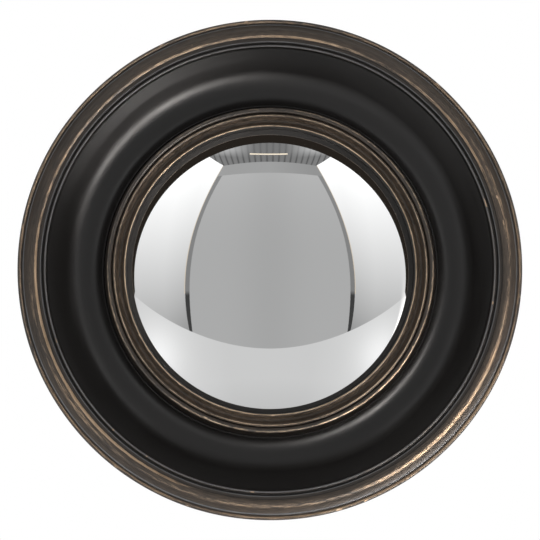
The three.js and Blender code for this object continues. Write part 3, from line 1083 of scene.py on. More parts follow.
def knocks(seed: int, count: int, radius: float, height: float, size: float) -> list[Nick]:
    """Scatters small knocks round one edge, the same ones each time.

    Args:
        seed: What the scatter starts from.
        count: The number of knocks.
        radius: The edge's radius, in mm.
        height: The edge's height, in mm.
        size: The depth of the deepest knock, in mm.

    Returns:
        The knocks.
    """
    dice = np.random.default_rng(seed)
    made = []
    for _ in range(count):
        depth = size * (0.3 + 0.7 * dice.random() ** 2)
        made.append(
            Nick(
                angle=float(dice.uniform(0, 2 * math.pi)),
                radius=radius,
                height=height,
                length=float(dice.uniform(0.8, 2.6)),
                width=float(dice.uniform(0.5, 1.1)),
                depth=float(depth),
            )
        )
    return made


@dataclass(frozen=True)
class FrameBody:
    """The turned frame: rebate and seat behind, cove, arris, rim bead and edge bead in front."""

    sides: int = 600
    rebate_radius: float = 117.4
    rebate_height: float = 6.3
    through_bore: float = 113.2
    seat_height: float = 14.0
    seat_radius: float = 125.7
    cove_start: float = 126.7
    cove_start_height: float = 21.641
    cove_floor: float = 136.877
    cove_floor_height: float = 16.0
    cove_inner: float = 12.0
    cove_inner_angle: float = 58.0
    cove_outer: float = 23.0
    cove_outer_angle: float = 45.0
    flank_end: float = 168.405
    flank_sag: float = 0.5
    arris: float = 169.405
    arris_height: float = 41.0
    arris_size: float = 1.0
    groove_middle: float = 171.355
    groove_floor: float = 40.2
    fillet_start: float = 172.305
    fillet_height: float = 41.6
    bead_start: float = 175.205
    crest: float = 177.83
    rim_height: float = 44.0
    rim_inner: float = 3.35
    rim_inner_angle: float = 51.0
    rim_outer: float = 5.5
    rim_outer_angle: float = 45.0
    bead_end: float = 186.219
    bead_end_height: float = 38.589
    rim_flank_sag: float = 0.22
    # The pale line at the rim bead's end: how far inwards and upwards its points lie.
    line_foot: Place = (0.95, 0.75)
    line_start: Place = (0.75, 0.58)
    line_end: Place = (0.08, 0.02)
    line_under: Place = (-0.1, -0.3)
    quirk_width: float = 0.7
    quirk_depth: float = 0.6
    edge_bead: float = 188.469
    edge_bead_height: float = 37.339
    edge_bead_size: float = 1.55
    side_top: float = 189.019
    side_top_height: float = 35.789
    back_edge: float = 183.019
    side_hollow: float = 2.0
    side_steps: int = 10
    back_chamfer: float = 1.5
    screw_circle: float = 121.55
    screw_count: int = 4
    sink_radius: float = 3.5
    sink_bottom: float = 1.8
    sink_sides: int = 40
    pilot_depth: float = 14.3

    def front(self, p: Profile) -> None:
        """Draws the cove and the rim.

        Args:
            p: The profile, which has reached the seat.
        """
        # The cove's foot and the groove are darkened as painted shade, with some grime.
        foot = Wear(shade_and_grime=1.0)
        p.finish = 0
        p.go(self.seat_radius + 0.12, self.cove_start_height - 0.1, foot)
        p.go(self.cove_start, self.cove_start_height, foot)
        inner = self.cove_floor_height + self.cove_inner
        outer = self.cove_floor_height + self.cove_outer
        p.arc(self.cove_floor, inner, self.cove_inner, -90 - self.cove_inner_angle, -90, 16)
        p.arc(self.cove_floor, outer, self.cove_outer, -90, -90 + self.cove_outer_angle, 16)
        p.sag(self.flank_end, self.arris_height, self.flank_sag, 12)
        arris = crest_wear(Wear(brown=0.4), 0.3, 95, 60, 0.5)
        p.arc(self.arris, self.arris_height, self.arris_size, 172, 8, 9, arris)
        groove = Wear(shade_and_grime=1.0)
        p.line(self.groove_middle, self.groove_floor, 3, groove)
        p.line(self.fillet_start - 0.12, self.fillet_height - 0.15, 3, groove)
        p.go(self.fillet_start + 0.1, self.fillet_height, Wear(brown=0.3, line=0.5))
        p.go(self.fillet_start + 0.45, self.fillet_height + 0.02, Wear(brown=0.4, line=0.3))
        p.line(self.bead_start - 0.5, self.fillet_height, 4, Wear(brown=0.42))
        p.line(self.bead_start, self.fillet_height + 0.06, 2, Wear(brown=0.4, shade_and_grime=0.7))

    def _near_end(self, offset: Place) -> Place:
        """Gives a point that lies an offset inwards and upwards of the rim bead's end."""
        return self.bead_end - offset[0], self.bead_end_height + offset[1]

    def rim(self, p: Profile) -> None:
        """Draws the rim bead, the quirk and the edge bead.

        Args:
            p: The profile, which has reached the rim bead's foot.
        """
        bronze = Wear(rub=0.14, brown=1.0)
        inner = self.rim_height - self.rim_inner
        outer = self.rim_height - self.rim_outer
        start = 90 + self.rim_inner_angle
        # The shoulder's fine gold line and the crown's rub sit where the key light's highlight falls on each,
        # and are bared by side: rubbed gilding, partly painted highlight and shade.
        shoulder = crest_wear(Wear(rub=0.14, brown=1.0, bare_in_shade=1.0), 1.4, 118, 34)
        crown = crest_wear(bronze, 0.5, 61, 36)

        def inner_wear(angle: float) -> Wear:
            """Returns the wear where the shoulder's fine line meets the crown's broad rub."""
            return max(shoulder(angle), crown(angle), key=lambda wear: wear.rub)

        p.arc(self.crest, inner, self.rim_inner, start, 90, 18, inner_wear)
        p.arc(self.crest, outer, self.rim_outer, 86, 90 - self.rim_outer_angle, 14, crown)
        p.sag(*self._near_end(self.line_foot), self.rim_flank_sag, 8, Wear(rub=0.06, brown=0.9))
        p.go(*self._near_end(self.line_start), Wear(brown=0.6, line=1.0))
        p.go(*self._near_end(self.line_end), Wear(brown=0.5, line=1.0))
        p.go(*self._near_end(self.line_under), Wear(brown=0.9, line=0.2, shade_and_grime=0.15))
        # The quirk beside the edge bead is darkened as painted shade, with some grime.
        quirk = self._near_end((-self.quirk_width / 2, -self.quirk_depth))
        p.line(*quirk, 3, Wear(brown=0.7, shade_and_grime=0.45))
        edge = crest_wear(Wear(rub=0.16, brown=0.85, bare_where_unlit=0.0), 0.66, 104, 62, 0.1)
        p.arc(self.edge_bead, self.edge_bead_height, self.edge_bead_size, 160, -60, 18, edge)

    def profile(self) -> Profile:
        """Draws the whole profile, from the rebate round the front to the back edge.

        Returns:
            The profile.
        """
        p = Profile(finish=1)
        p.go(self.rebate_radius, 0.0, Wear(rub=0.5)).line(self.rebate_radius, self.rebate_height, 3)
        p.line(self.through_bore, self.rebate_height, 2).line(self.through_bore, self.seat_height, 2)
        p.line(self.seat_radius, self.seat_height, 2).line(self.seat_radius, self.cove_start_height - 0.4, 3)
        self.front(p)
        self.rim(p)
        # The top of the outer side is darkened as painted shade, with some grime.
        p.go(self.side_top, self.side_top_height, Wear(shade_and_grime=0.8))
        middle = (self.side_top + self.back_edge) / 2 - self.side_hollow
        middle_height = (self.side_top_height + self.back_chamfer) / 2
        side = Wear(brown=0.22, rub=0.04)
        p.bend((middle, middle_height), (self.back_edge, self.back_chamfer), self.side_steps, side)
        p.finish = 1
        p.go(self.back_edge - 0.15, self.back_chamfer - 0.15, Wear(rub=0.5))
        p.go(self.back_edge - self.back_chamfer, 0.0, Wear(rub=0.6))
        return p

    def back_face(self, datum: Datum, material: bpy.types.Material) -> bpy.types.Object:
        """Makes the flat back with its four countersinks.

        Args:
            datum: Where the frame stands.
            material: Its finish.

        Returns:
            The new object.
        """
        curve = bpy.data.curves.new("flat_back", "CURVE")
        curve.dimensions = "2D"
        curve.fill_mode = "BOTH"
        edges = (self.back_edge - self.back_chamfer, self.rebate_radius)
        rings = [(0.0, 0.0, edge, self.sides) for edge in edges]
        for index in range(self.screw_count):
            angle = 2 * math.pi * index / self.screw_count
            x, z = self.screw_circle * math.sin(angle), self.screw_circle * math.cos(angle)
            rings.append((x, z, self.sink_radius, self.sink_sides))
        for x, z, radius, sides in rings:
            spline = curve.splines.new("POLY")
            spline.points.add(sides - 1)
            for index in range(sides):
                turn = 2 * math.pi * index / sides
                place = ((x + radius * math.sin(turn)) * MM, (z + radius * math.cos(turn)) * MM, 0, 1)
                spline.points[index].co = place
            spline.use_cyclic_u = True
        holder = bpy.data.objects.new("flat_back_curve", curve)
        mesh = bpy.data.meshes.new_from_object(holder)
        bpy.data.objects.remove(holder)
        mesh.transform(Matrix(((1, 0, 0, datum.x), (0, 0, -1, datum.y), (0, 1, 0, datum.z), (0, 0, 0, 1))))
        mesh.materials.clear()
        mesh.materials.append(material)
        return linked("flat_back", mesh)

    def sinks(self, datum: Datum, material: bpy.types.Material) -> list[bpy.types.Object]:
        """Makes the countersinks and the holes behind them.

        Args:
            datum: Where the frame stands.
            material: Their finish.

        Returns:
            The new objects.
        """
        made = []
        for index in range(self.screw_count):
            p = Profile()
            p.go(self.sink_radius, 0.0, Wear(rub=0.8))
            p.line(self.sink_bottom, self.sink_radius - self.sink_bottom, 3)
            p.line(self.sink_bottom, self.pilot_depth, 2)
            centre = datum.at(self.screw_circle, 0.0, 2 * math.pi * index / self.screw_count)
            hole = Turning(f"sink_{index}", p, closed=False, sides=self.sink_sides)
            made.append(hole.make(Datum(*centre), [material]))
        return made

    def build(self, datum: Datum) -> bpy.types.Object:
        """Builds the frame.

        Args:
            datum: Where it stands.

        Returns:
            The finished piece.
        """
        nicks = knocks(11, 16, self.arris, self.arris_height + 1, 0.45)
        nicks += knocks(12, 9, self.crest + 1, self.rim_height, 0.25)
        nicks += knocks(13, 14, self.edge_bead + 0.6, self.edge_bead_height + 1.2, 0.4)
        lacquer, back = FRAME_LACQUER.make(), BACK_BLACK.make()
        hand = HandWork(nicks=nicks)
        turned = Turning("moulded_frame", self.profile(), closed=False, sides=self.sides, hand=hand)
        frame = turned.make(datum, [lacquer, back])
        face = self.back_face(datum, back)
        joined(frame, [face, *self.sinks(datum, back)])
        return place_piece(frame, "frame", Slot.FRAME, "frame_body")


def joined(main: bpy.types.Object, others: Sequence[bpy.types.Object]) -> None:
    """Joins other pieces into one mesh and welds them.

    Args:
        main: The piece that stays.
        others: The pieces that are joined into it.
    """
    every = [main, *others]
    with bpy.context.temp_override(
        active_object=main, object=main, selected_objects=every, selected_editable_objects=every
    ):
        bpy.ops.object.join()
    tidy(main.data)


@dataclass(frozen=True)
class SightRing:
    """The raised ring that holds the glass: lip, inner arris, hollow, thin bead and outer roll."""

    sides: int = 720
    shift: float = 0.27
    glass_bore: float = 112.8
    foot_height: float = 14.3
    bevel_height: float = 24.547
    lip_radius: float = 108.2
    lip_bottom: float = 26.534
    lip_top: float = 31.534
    inner_arris: float = 110.05
    inner_arris_size: float = 0.95
    hollow_depth: float = 3.0
    thin_bead: float = 117.7
    thin_bead_size: float = 1.2
    crest_height: float = 32.134
    bead_quirk: float = 119.4
    bead_quirk_depth: float = 0.8
    roll: float = 121.8
    roll_size: float = 1.9
    outer_radius: float = 125.3
    wall_drop: float = 9.0

    def profile(self) -> Profile:
        """Draws the closed profile.

        Returns:
            The profile.
        """
        p = Profile()
        umber = Wear(rub=0.02, brown=1.0)
        p.go(self.glass_bore, self.foot_height).line(self.glass_bore, self.bevel_height, 2)
        # The bevel, the lip wall and the quirks are darkened as painted shade, with some grime.
        p.line(self.lip_radius + 0.15, self.lip_bottom - 0.06, 3, Wear(shade_and_grime=1.0))
        p.go(self.lip_radius, self.lip_bottom + 0.1, Wear(brown=0.5, shade_and_grime=0.8))
        p.line(self.inner_arris - self.inner_arris_size, self.lip_top, 8, Wear(brown=0.4, shade_and_grime=0.85))
        gilt = crest_wear(umber, 1.0, 104, 46, 0.0)
        p.arc(self.inner_arris, self.lip_top, self.inner_arris_size, 172, 0, 14, gilt)
        hollow_end = self.thin_bead - self.thin_bead_size
        p.sag(hollow_end, self.crest_height, self.hollow_depth, 26, umber)
        bead = crest_wear(umber, 0.72, 92, 34)
        p.arc(self.thin_bead, self.crest_height, self.thin_bead_size, 172, 8, 14, bead)
        quirk = Wear(brown=0.3, shade_and_grime=1.0)
        p.line(self.bead_quirk, self.crest_height - self.bead_quirk_depth, 2, quirk)
        # The roll's gilding is centred where the key light's highlight falls on it: partly painted highlight.
        roll = crest_wear(Wear(rub=0.04, brown=0.45), 0.5, 64, 38, 0.1)
        p.arc(self.roll, self.crest_height, self.roll_size, 176, 0, 22, roll)
        p.line(self.outer_radius - 0.3, self.crest_height - self.wall_drop + 1.6, 10, Wear(brown=0.12))
        p.line(self.outer_radius, self.crest_height - self.wall_drop, 2, Wear(shade_and_grime=0.6))
        p.line(self.outer_radius, self.foot_height, 3, Wear(shade_and_grime=1.0))
        return p

    def build(self, datum: Datum) -> bpy.types.Object:
        """Builds the ring, set a little to one side in its seat as in the photographed one.

        Args:
            datum: Where the frame stands.

        Returns:
            The finished piece.
        """
        hand = HandWork(
            waves=((2, 0.05, 1.0), (5, 0.03, 0.3), (9, 0.02, 2.2)),
            starts=80.0,
            nicks=knocks(21, 12, self.inner_arris, self.lip_top + 0.9, 0.25)
            + knocks(22, 9, self.roll, self.crest_height + self.roll_size, 0.2),
        )
        moved = Datum(datum.x + self.shift * MM, datum.y, datum.z - self.shift * MM)
        ring = Turning("sight_slip", self.profile(), closed=True, sides=self.sides, hand=hand)
        return place_piece(ring.make(moved, [SIGHT_LACQUER.make()]), "frame", Slot.SLIP, "sight_ring")


# ----------------------------------------
# Glass, packing and back board
# ----------------------------------------


@dataclass(frozen=True)
class DomedGlass:
    """The slumped glass blank, silvered and painted behind."""

    sides: int = 360
    rings: int = 90
    radius: float = 112.0
    dome: float = 238.0
    thickness: float = 3.0
    ground: float = 0.25  # arris that is ground off the edge
    back_rings: int = 24
    centre_height: float = -185.753

    def build(self, datum: Datum) -> bpy.types.Object:
        """Builds the glass.

        Args:
            datum: Where the frame stands.

        Returns:
            The finished piece.
        """
        rim = 90 - math.degrees(math.asin(self.radius / self.dome))
        p = Profile(finish=2)
        inner = self.dome - self.thickness
        p.arc(0.0, self.centre_height, inner, 90, rim, self.back_rings)
        p.finish = 1
        p.arc(0.0, self.centre_height, inner + self.ground, rim, rim + 0.01, 1)
        p.arc(0.0, self.centre_height, self.dome - self.ground, rim, rim + 0.01, 1)
        p.finish = 0
        p.arc(0.0, self.centre_height, self.dome, rim + 0.05, 90, self.rings)
        glass = Turning("domed_mirror", p, closed=False, sides=self.sides)
        made = glass.make(datum, [SILVER.make(), GLASS_EDGE.make(), BACKING.make()])
        return place_piece(made, "frame", Slot.GLASS, "convex_glass")


@dataclass(frozen=True)
class Closing:
    """What closes the frame behind the glass: the packing ring and the back board."""

    sides: int = 240
    board_radius: float = 117.0
    board_thickness: float = 6.0
    board_ease: float = 0.75
    packing_inner: float = 104.0
    packing_outer: float = 112.0
    packing_back: float = 6.3
    packing_top: float = 21.0
    glass_rim: float = 110.588
    glass_rim_height: float = 21.3
    inner_height: float = 24.681

    def board(self, datum: Datum) -> bpy.types.Object:
        """Builds the back board, its rear edge eased with a file.

        Args:
            datum: Where the frame stands.

        Returns:
            The finished piece.
        """
        p = Profile()
        edge = self.board_radius - self.board_ease
        p.go(0.0, 0.0).line(edge, 0.0, 4)
        p.arc(edge, self.board_ease, self.board_ease, -80, 0, 6)
        p.line(self.board_radius, self.board_thickness, 2).line(0.0, self.board_thickness, 3)
        board = Turning("fibre_board", p, closed=False, sides=self.sides).make(datum, [BROWN_BOARD.make()])
        return place_piece(board, "frame", Slot.BOARD, "back_board")

    def packing(self, datum: Datum) -> bpy.types.Object:
        """Builds the packing ring behind the glass.

        Args:
            datum: Where the frame stands.

        Returns:
            The finished piece.
        """
        p = Profile()
        p.go(self.packing_inner, self.packing_back).line(self.packing_outer, self.packing_back, 3)
        p.line(self.packing_outer, self.packing_top, 4).go(self.glass_rim, self.glass_rim_height)
        p.line(self.packing_inner, self.inner_height, 4)
        ring = Turning("card_packing", p, closed=True, sides=self.sides).make(datum, [GREY_CARD.make()])
        return place_piece(ring, "frame", Slot.CARD, "packing_ring")

    def build(self, datum: Datum) -> None:
        """Builds both, for a frame that stands at the datum."""
        self.packing(datum)
        self.board(datum)


# ----------------------------------------
# Hardware on the back
# ----------------------------------------


EASED_ABOVE = 40 * DEGREE  # edges that bend more than this are eased
HOLE_SIDES = 24


def eased(obj: bpy.types.Object, width: float, segments: int = 2) -> None:
    """Rounds the sharp edges of a piece and applies it.

    Args:
        obj: The piece.
        width: The rounding, in mm.
        segments: The number of its steps.
    """
    work = bmesh.new()
    work.from_mesh(obj.data)
    sharp = [e for e in work.edges if len(e.link_faces) == 2 and e.calc_face_angle(0.0) > EASED_ABOVE]
    bmesh.ops.bevel(work, geom=sharp, offset=width * MM, segments=segments, profile=0.5, affect="EDGES")
    work.to_mesh(obj.data)
    work.free()
    tidy(obj.data)


def carved(obj: bpy.types.Object, cutters: Sequence[bpy.types.Object]) -> None:
    """Takes cutters out of a piece and removes them.

    Args:
        obj: The piece.
        cutters: The closed forms to take out.
    """
    for cutter in cutters:
        step = obj.modifiers.new("cut", "BOOLEAN")
        step.operation = "DIFFERENCE"
        step.solver = "EXACT"
        step.object = cutter
    graph = bpy.context.evaluated_depsgraph_get()
    mesh = bpy.data.meshes.new_from_object(obj.evaluated_get(graph))
    obj.modifiers.clear()
    obj.data = mesh
    for cutter in cutters:
        bpy.data.objects.remove(cutter)
    tidy(obj.data)


def prism(name: str, outline: Sequence[tuple[float, float]], low: float, high: float) -> bpy.types.Object:
    """Makes an upright prism on an outline in its own x and y.

    Args:
        name: The object's name.
        outline: The outline's points, in mm.
        low: The lower end, in mm.
        high: The upper end, in mm.

    Returns:
        The new object.
    """
    count = len(outline)
    points = [(x * MM, y * MM, z * MM) for z in (low, high) for x, y in outline]
    faces = [tuple(reversed(range(count))), tuple(range(count, 2 * count))]
    faces += [(i, (i + 1) % count, count + (i + 1) % count, count + i) for i in range(count)]
    mesh = bpy.data.meshes.new(name)
    mesh.from_pydata(points, [], faces)
    tidy(mesh)
    return linked(name, mesh)


def circle(x: float, y: float, radius: float, start: float, end: float, steps: int) -> list[Place]:
    """Gives points along an arc, in mm and degrees.

    Args:
        x: The centre's x.
        y: The centre's y.
        radius: The radius.
        start: The first angle.
        end: The last angle.
        steps: The number of steps.

    Returns:
        The points.
    """
    angles = [(start + (end - start) * step / steps) * DEGREE for step in range(steps + 1)]
    return [(x + radius * math.cos(a), y + radius * math.sin(a)) for a in angles]


def hole_outline(radius: float, x: float = 0.0, y: float = 0.0) -> list[Place]:
    """Gives the outline of a round hole, in mm."""
    return circle(x, y, radius, 0, 360 - 360 / HOLE_SIDES, HOLE_SIDES - 1)


@dataclass(frozen=True)
class Screw:
    """A wood screw with a cross recess, drawn with its head towards +Z and its seat at z = 0."""

    head_radius: float
    head_height: float
    sunk: bool
    length: float
    shank: float = 1.5
    point: float = 2.4
    sides: int = 32
    rounding: float = 1.25  # of a pan head
    pan_rise: float = 0.05  # of a pan head's middle over its rounding
    sunk_edge: Place = (0.15, 0.12)  # flat edge of a sunk head, inwards and down
    recess_width: float = 0.95
    recess_reach: float = 1.75
    recess_depth: float = 1.3

    def _profile(self) -> Profile:
        """Draws the profile.

        Returns:
            The profile, whose heights count downwards from the head, towards the tip.
        """
        p = Profile()
        top = -self.head_height
        if self.sunk:
            inwards, down = self.sunk_edge
            p.go(0.0, 0.0).go(self.head_radius - inwards, 0.0).go(self.head_radius, down)
            p.line(self.shank, self.head_radius - self.shank + down, 3)
        else:
            p.go(0.0, top).go(self.head_radius * 0.45, top + 0.04)
            edge = self.head_radius - self.rounding
            p.arc(edge, top + self.rounding + self.pan_rise, self.rounding, -78, 0, 7)
            p.line(self.head_radius, 0.0, 2).line(self.shank, 0.0, 2)
        p.line(self.shank, self.length - self.point, 2).line(0.0, self.length, 3)
        return p

    def make(self, material: bpy.types.Material) -> bpy.types.Mesh:
        """Builds the screw's mesh.

        Args:
            material: Its finish.

        Returns:
            The mesh, which every screw of the kind shares.
        """
        turned = Turning("screw", self._profile(), closed=False, sides=self.sides)
        body = turned.make(Datum(0, 0, 0), [material])
        body.data.transform(Matrix.Rotation(math.pi / 2, 4, "X"))
        top = 0.0 if self.sunk else self.head_height
        w, r, d = self.recess_width / 2, self.recess_reach, self.recess_depth
        right = [(w, top - d), (r * 0.95, top - d * 0.5), (r, top + 1)]
        outline = [(-x, z) for x, z in reversed(right)] + right
        cutters = []
        for turn in (0, math.pi / 2):
            cutter = prism("recess", outline, -w, w)
            cutter.data.transform(Matrix.Rotation(math.pi / 2, 4, "X"))
            cutter.data.transform(Matrix.Rotation(turn, 4, "Z"))
            cutters.append(cutter)
        carved(body, cutters)
        mesh = body.data
        bpy.data.objects.remove(body)
        return mesh


def facing_back(x: float, y: float, z: float, turn: float = 0.0) -> Matrix:
    """Gives the placing, in metres and radians, of a piece drawn with +Z away from the back."""
    basis = Matrix(((1, 0, 0), (0, 0, 1), (0, -1, 0))).to_4x4()
    return Matrix.Translation((x, y, z)) @ basis @ Matrix.Rotation(turn, 4, "Z")


@dataclass(frozen=True)
class Fastenings:
    """The screws: four that draw up the sight ring, four pivots and two in the hanger."""

    gap: float = 0.3
    sunk_circle: float = 121.55
    pivot_circle: float = 129.0
    plate: float = 1.6
    hanger_radii: tuple[float, float] = (138.019, 150.019)
    count: int = 4
    sunk: Screw = Screw(head_radius=2.9, head_height=0.0, sunk=True, length=22.0)
    pivot: Screw = Screw(head_radius=3.6, head_height=1.8, sunk=False, length=13.0)
    hanger: Screw = Screw(head_radius=3.6, head_height=1.8, sunk=False, length=15.0)

    def _drive(self, name: str, mesh: bpy.types.Mesh, place: Vector, turn: float, node: str) -> None:
        """Sets one screw.

        Args:
            name: The piece's name.
            mesh: The screw's mesh.
            place: Where its seat is.
            turn: How far its recess is turned.
            node: The node that it stands for.
        """
        screw = linked(name, mesh.copy())
        screw.data.transform(facing_back(*place, turn))
        place_piece(screw, "frame", Slot.ZINC, node)

    def build(self, datum: Datum, zinc: bpy.types.Material) -> None:
        """Builds all ten.

        Args:
            datum: Where the frame stands.
            zinc: Their plating.
        """
        dice = np.random.default_rng(5)
        seat = -(self.plate + 2 * self.gap)
        sunk, pivot, hanger = self.sunk.make(zinc), self.pivot.make(zinc), self.hanger.make(zinc)
        for index in range(self.count):
            angle, number = index * 2 * math.pi / self.count, index + 1
            at, turn = datum.at(self.sunk_circle, self.gap, angle), dice.uniform(0, 3)
            self._drive(f"ring_screw_{number}", sunk, at, turn, f"sight_screw_{number}")
            at, turn = datum.at(self.pivot_circle, seat, angle + math.pi / self.count), dice.uniform(0, 3)
            self._drive(f"button_screw_{number}", pivot, at, turn, f"pivot_screw_{number}")
        for number, radius in enumerate(self.hanger_radii, 1):
            at, turn = datum.at(radius, seat, 0.0), dice.uniform(0, 3)
            self._drive(f"strap_screw_{number}", hanger, at, turn, f"hanger_screw_{number}")


@dataclass(frozen=True)
class TurnButtons:
    """Four pressed buttons that swivel over the board's edge."""

    count: int = 4
    circle_radius: float = 129.0
    thickness: float = 1.6
    gap: float = 0.3
    boss: float = 6.0
    tip: float = 4.0
    reach: float = 20.0
    hole: float = 1.9
    rib_width: float = 1.1
    rib_height: float = 0.35
    rib_root: float = 0.2  # how deep the rib reaches into the plate
    rib_reach: float = 0.6  # how far it reaches into the boss and the tip
    edge_ease: float = 0.3

    def mesh(self, brass: bpy.types.Material) -> bpy.types.Mesh:
        """Builds one button, its arm along its own +X.

        Args:
            brass: Its plating.

        Returns:
            The mesh.
        """
        lean = math.degrees(math.acos((self.boss - self.tip) / self.reach))
        outline = circle(0, 0, self.boss, lean, 360 - lean, 40)
        outline += circle(self.reach, 0, self.tip, -lean, lean, 24)
        plate = prism("button", outline, 0.0, self.thickness)
        bore = prism("bore", hole_outline(self.hole), -1.0, self.thickness + 1)
        carved(plate, [bore])
        eased(plate, self.edge_ease, 3)
        start, end = self.boss - self.rib_reach, self.reach + self.rib_reach
        low, high = self.thickness - self.rib_root, self.thickness + self.rib_height
        around = circle(end, 0, self.rib_width, -90, 90, 10)
        around += circle(start, 0, self.rib_width, 90, 270, 10)
        rib = prism("rib", around, low, high)
        eased(rib, self.edge_ease, 3)
        joined(plate, [rib])
        plate.data.materials.append(brass)
        made = plate.data
        bpy.data.objects.remove(plate)
        return made

    def build(self, datum: Datum, brass: bpy.types.Material) -> None:
        """Builds the four buttons.

        Args:
            datum: Where the frame stands.
            brass: Their plating.
        """
        mesh = self.mesh(brass)
        for index in range(self.count):
            angle = (index + 0.5) * 2 * math.pi / self.count
            at = datum.at(self.circle_radius, -self.gap, angle)
            # The arm, along the button's own +X, points at the turning axis.
            inwards = Vector((-math.sin(angle), 0, -math.cos(angle)))
            outwards = Vector((0, 1, 0))
            across = outwards.cross(inwards)
            basis = Matrix((inwards, across, outwards)).transposed().to_4x4()
            button = linked(f"button_plate_{index + 1}", mesh.copy())
            button.data.transform(Matrix.Translation(at) @ basis)
            place_piece(button, f"button_{index + 1}", Slot.BRASS, f"turn_button_{index + 1}")


@dataclass(frozen=True)
class Hanger:
    """The D-ring and the strap that is folded round its bar."""

    gap: float = 0.3
    strap_width: float = 14.0
    strap_thickness: float = 1.6
    eye_bore: float = 1.65
    eye_radius: float = 2.65
    eye_z: float = 162.019
    strap_end: float = 132.019
    wire: float = 1.3
    half_width: float = 11.2
    corner: float = 3.0
    height: float = 19.0
    screw_z: tuple[float, float] = (138.019, 150.019)
    screw_hole: float = 1.8
    edge_ease: float = 0.22
    wire_sides: int = 20

    def strap(self, datum: Datum, zinc: bpy.types.Material) -> bpy.types.Object:
        """Builds the strap from its side outline, in y (away from the back) and z.

        Args:
            datum: Where the frame stands.
            zinc: Its plating.

        Returns:
            The finished piece.
        """
        eye_y = self.gap + self.eye_radius
        top = eye_y - self.eye_radius + self.strap_thickness
        join = math.degrees(math.acos((eye_y - top) / self.eye_radius))
        outline = [(self.gap, self.strap_end), (top, self.strap_end)]
        outline += circle(eye_y, self.eye_z, self.eye_radius, 180 + join, 540, 40)
        strap = prism("strap_plate", outline, -self.strap_width / 2, self.strap_width / 2)
        bore = prism("bore", hole_outline(self.eye_bore, eye_y, self.eye_z), -20, 20)
        carved(strap, [bore])
        eased(strap, self.edge_ease)
        holes = []
        for z in self.screw_z:
            hole = prism("hole", hole_outline(self.screw_hole), -5, 5)
            # The hole runs along the strap's own first axis, which becomes y.
            hole.data.transform(Matrix.Translation((0, z * MM, 0)) @ Matrix.Rotation(math.pi / 2, 4, "Y"))
            holes.append(hole)
        carved(strap, holes)
        # Drawn x becomes y, drawn y becomes z and drawn z becomes x.
        turn = Matrix(((0, 0, 1, datum.x), (1, 0, 0, datum.y), (0, 1, 0, datum.z), (0, 0, 0, 1)))
        strap.data.transform(turn)
        strap.data.materials.append(zinc)
        return place_piece(strap, "frame", Slot.ZINC, "hanger_strap")

    def _path(self) -> list[Place]:
        """Draws the centre line of the wire.

        Returns:
            Its points in x and z, in mm.
        """
        w, c, h = self.half_width, self.corner, self.height
        path = [(x, 0.0) for x in np.linspace(-(w - c), w - c, 12)][:-1]
        path += circle(w - c, c, c, -90, 0, 8)[:-1]
        path += [(w, z) for z in np.linspace(c, h - w, 6)][:-1]
        path += circle(0, h - w, w, 0, 180, 40)[:-1]
        path += [(-w, z) for z in np.linspace(h - w, c, 6)][:-1]
        path += circle(c - w, c, c, 180, 270, 8)[:-1]
        return path

    def ring(self, datum: Datum, zinc: bpy.types.Material) -> bpy.types.Object:
        """Builds the D-ring's wire, which stands up from the eye.

        Args:
            datum: Where the frame stands.
            zinc: Its plating.

        Returns:
            The finished piece.
        """
        path = self._path()
        count, around = len(path), self.wire_sides
        points, faces = [], []
        for index, (x, z) in enumerate(path):
            before, after = path[index - 1], path[(index + 1) % count]
            along = Vector((after[0] - before[0], after[1] - before[1])).normalized()
            out = Vector((along.y, -along.x))
            for step in range(around):
                turn = 2 * math.pi * step / around
                r = self.wire * math.cos(turn)
                y = self.gap + self.eye_radius + self.wire * math.sin(turn)
                wide, high = x + out.x * r, self.eye_z + z + out.y * r
                points.append((datum.x + wide * MM, datum.y + y * MM, datum.z + high * MM))
        for index in range(count):
            here, there = index * around, (index + 1) % count * around
            for step in range(around):
                other = (step + 1) % around
                faces.append((here + step, there + step, there + other, here + other))
        mesh = bpy.data.meshes.new("d_ring_wire")
        mesh.from_pydata(points, [], faces)
        mesh.materials.append(zinc)
        tidy(mesh, 80)
        return place_piece(linked("d_ring_wire", mesh), "d_ring", Slot.ZINC, "hanger_ring")

    def build(self, datum: Datum, zinc: bpy.types.Material) -> None:
        """Builds both, for a frame that stands at the datum."""
        self.strap(datum, zinc)
        self.ring(datum, zinc)


@dataclass(frozen=True)
class WallBumpers:
    """Four moulded bumpers that keep the frame off the wall."""

    count: int = 4
    circle_radius: float = 173.019
    gap: float = 0.3
    radius: float = 6.0
    height: float = 6.0
    sides: int = 48
    foot_ease: float = 0.2
    rounding: float = 1.2
    dimple_edge: float = 1.85
    dimple_floor: float = 0.96
    dimple_depth: float = 0.5

    def _profile(self) -> Profile:
        """Draws the profile of one bumper.

        Returns:
            The profile, from the frame's back outwards.
        """
        p = Profile()
        foot, top = -self.gap, -self.gap - self.height
        p.go(0.0, foot).go(self.radius - self.foot_ease, foot).go(self.radius, foot - self.foot_ease)
        p.line(self.radius, top + self.rounding, 3)
        p.arc(self.radius - self.rounding, top + self.rounding, self.rounding, 0, -90, 8)
        p.line(self.dimple_edge, top, 3).line(self.dimple_floor, top + self.dimple_depth, 3)
        return p.go(0.0, top + self.dimple_depth)

    def build(self, datum: Datum) -> None:
        """Builds the bumpers.

        Args:
            datum: Where the frame stands.
        """
        rubber, profile = GREY_RUBBER.make(), self._profile()
        for index in range(self.count):
            at = datum.at(self.circle_radius, 0.0, (index + 0.5) * 2 * math.pi / self.count)
            turned = Turning(f"bumper_{index + 1}", profile, closed=False, sides=self.sides)
            bumper = turned.make(Datum(*at), [rubber])
            place_piece(bumper, "frame", Slot.RUBBER, f"wall_bumper_{index + 1}")


# ----------------------------------------
# Studio
# ----------------------------------------


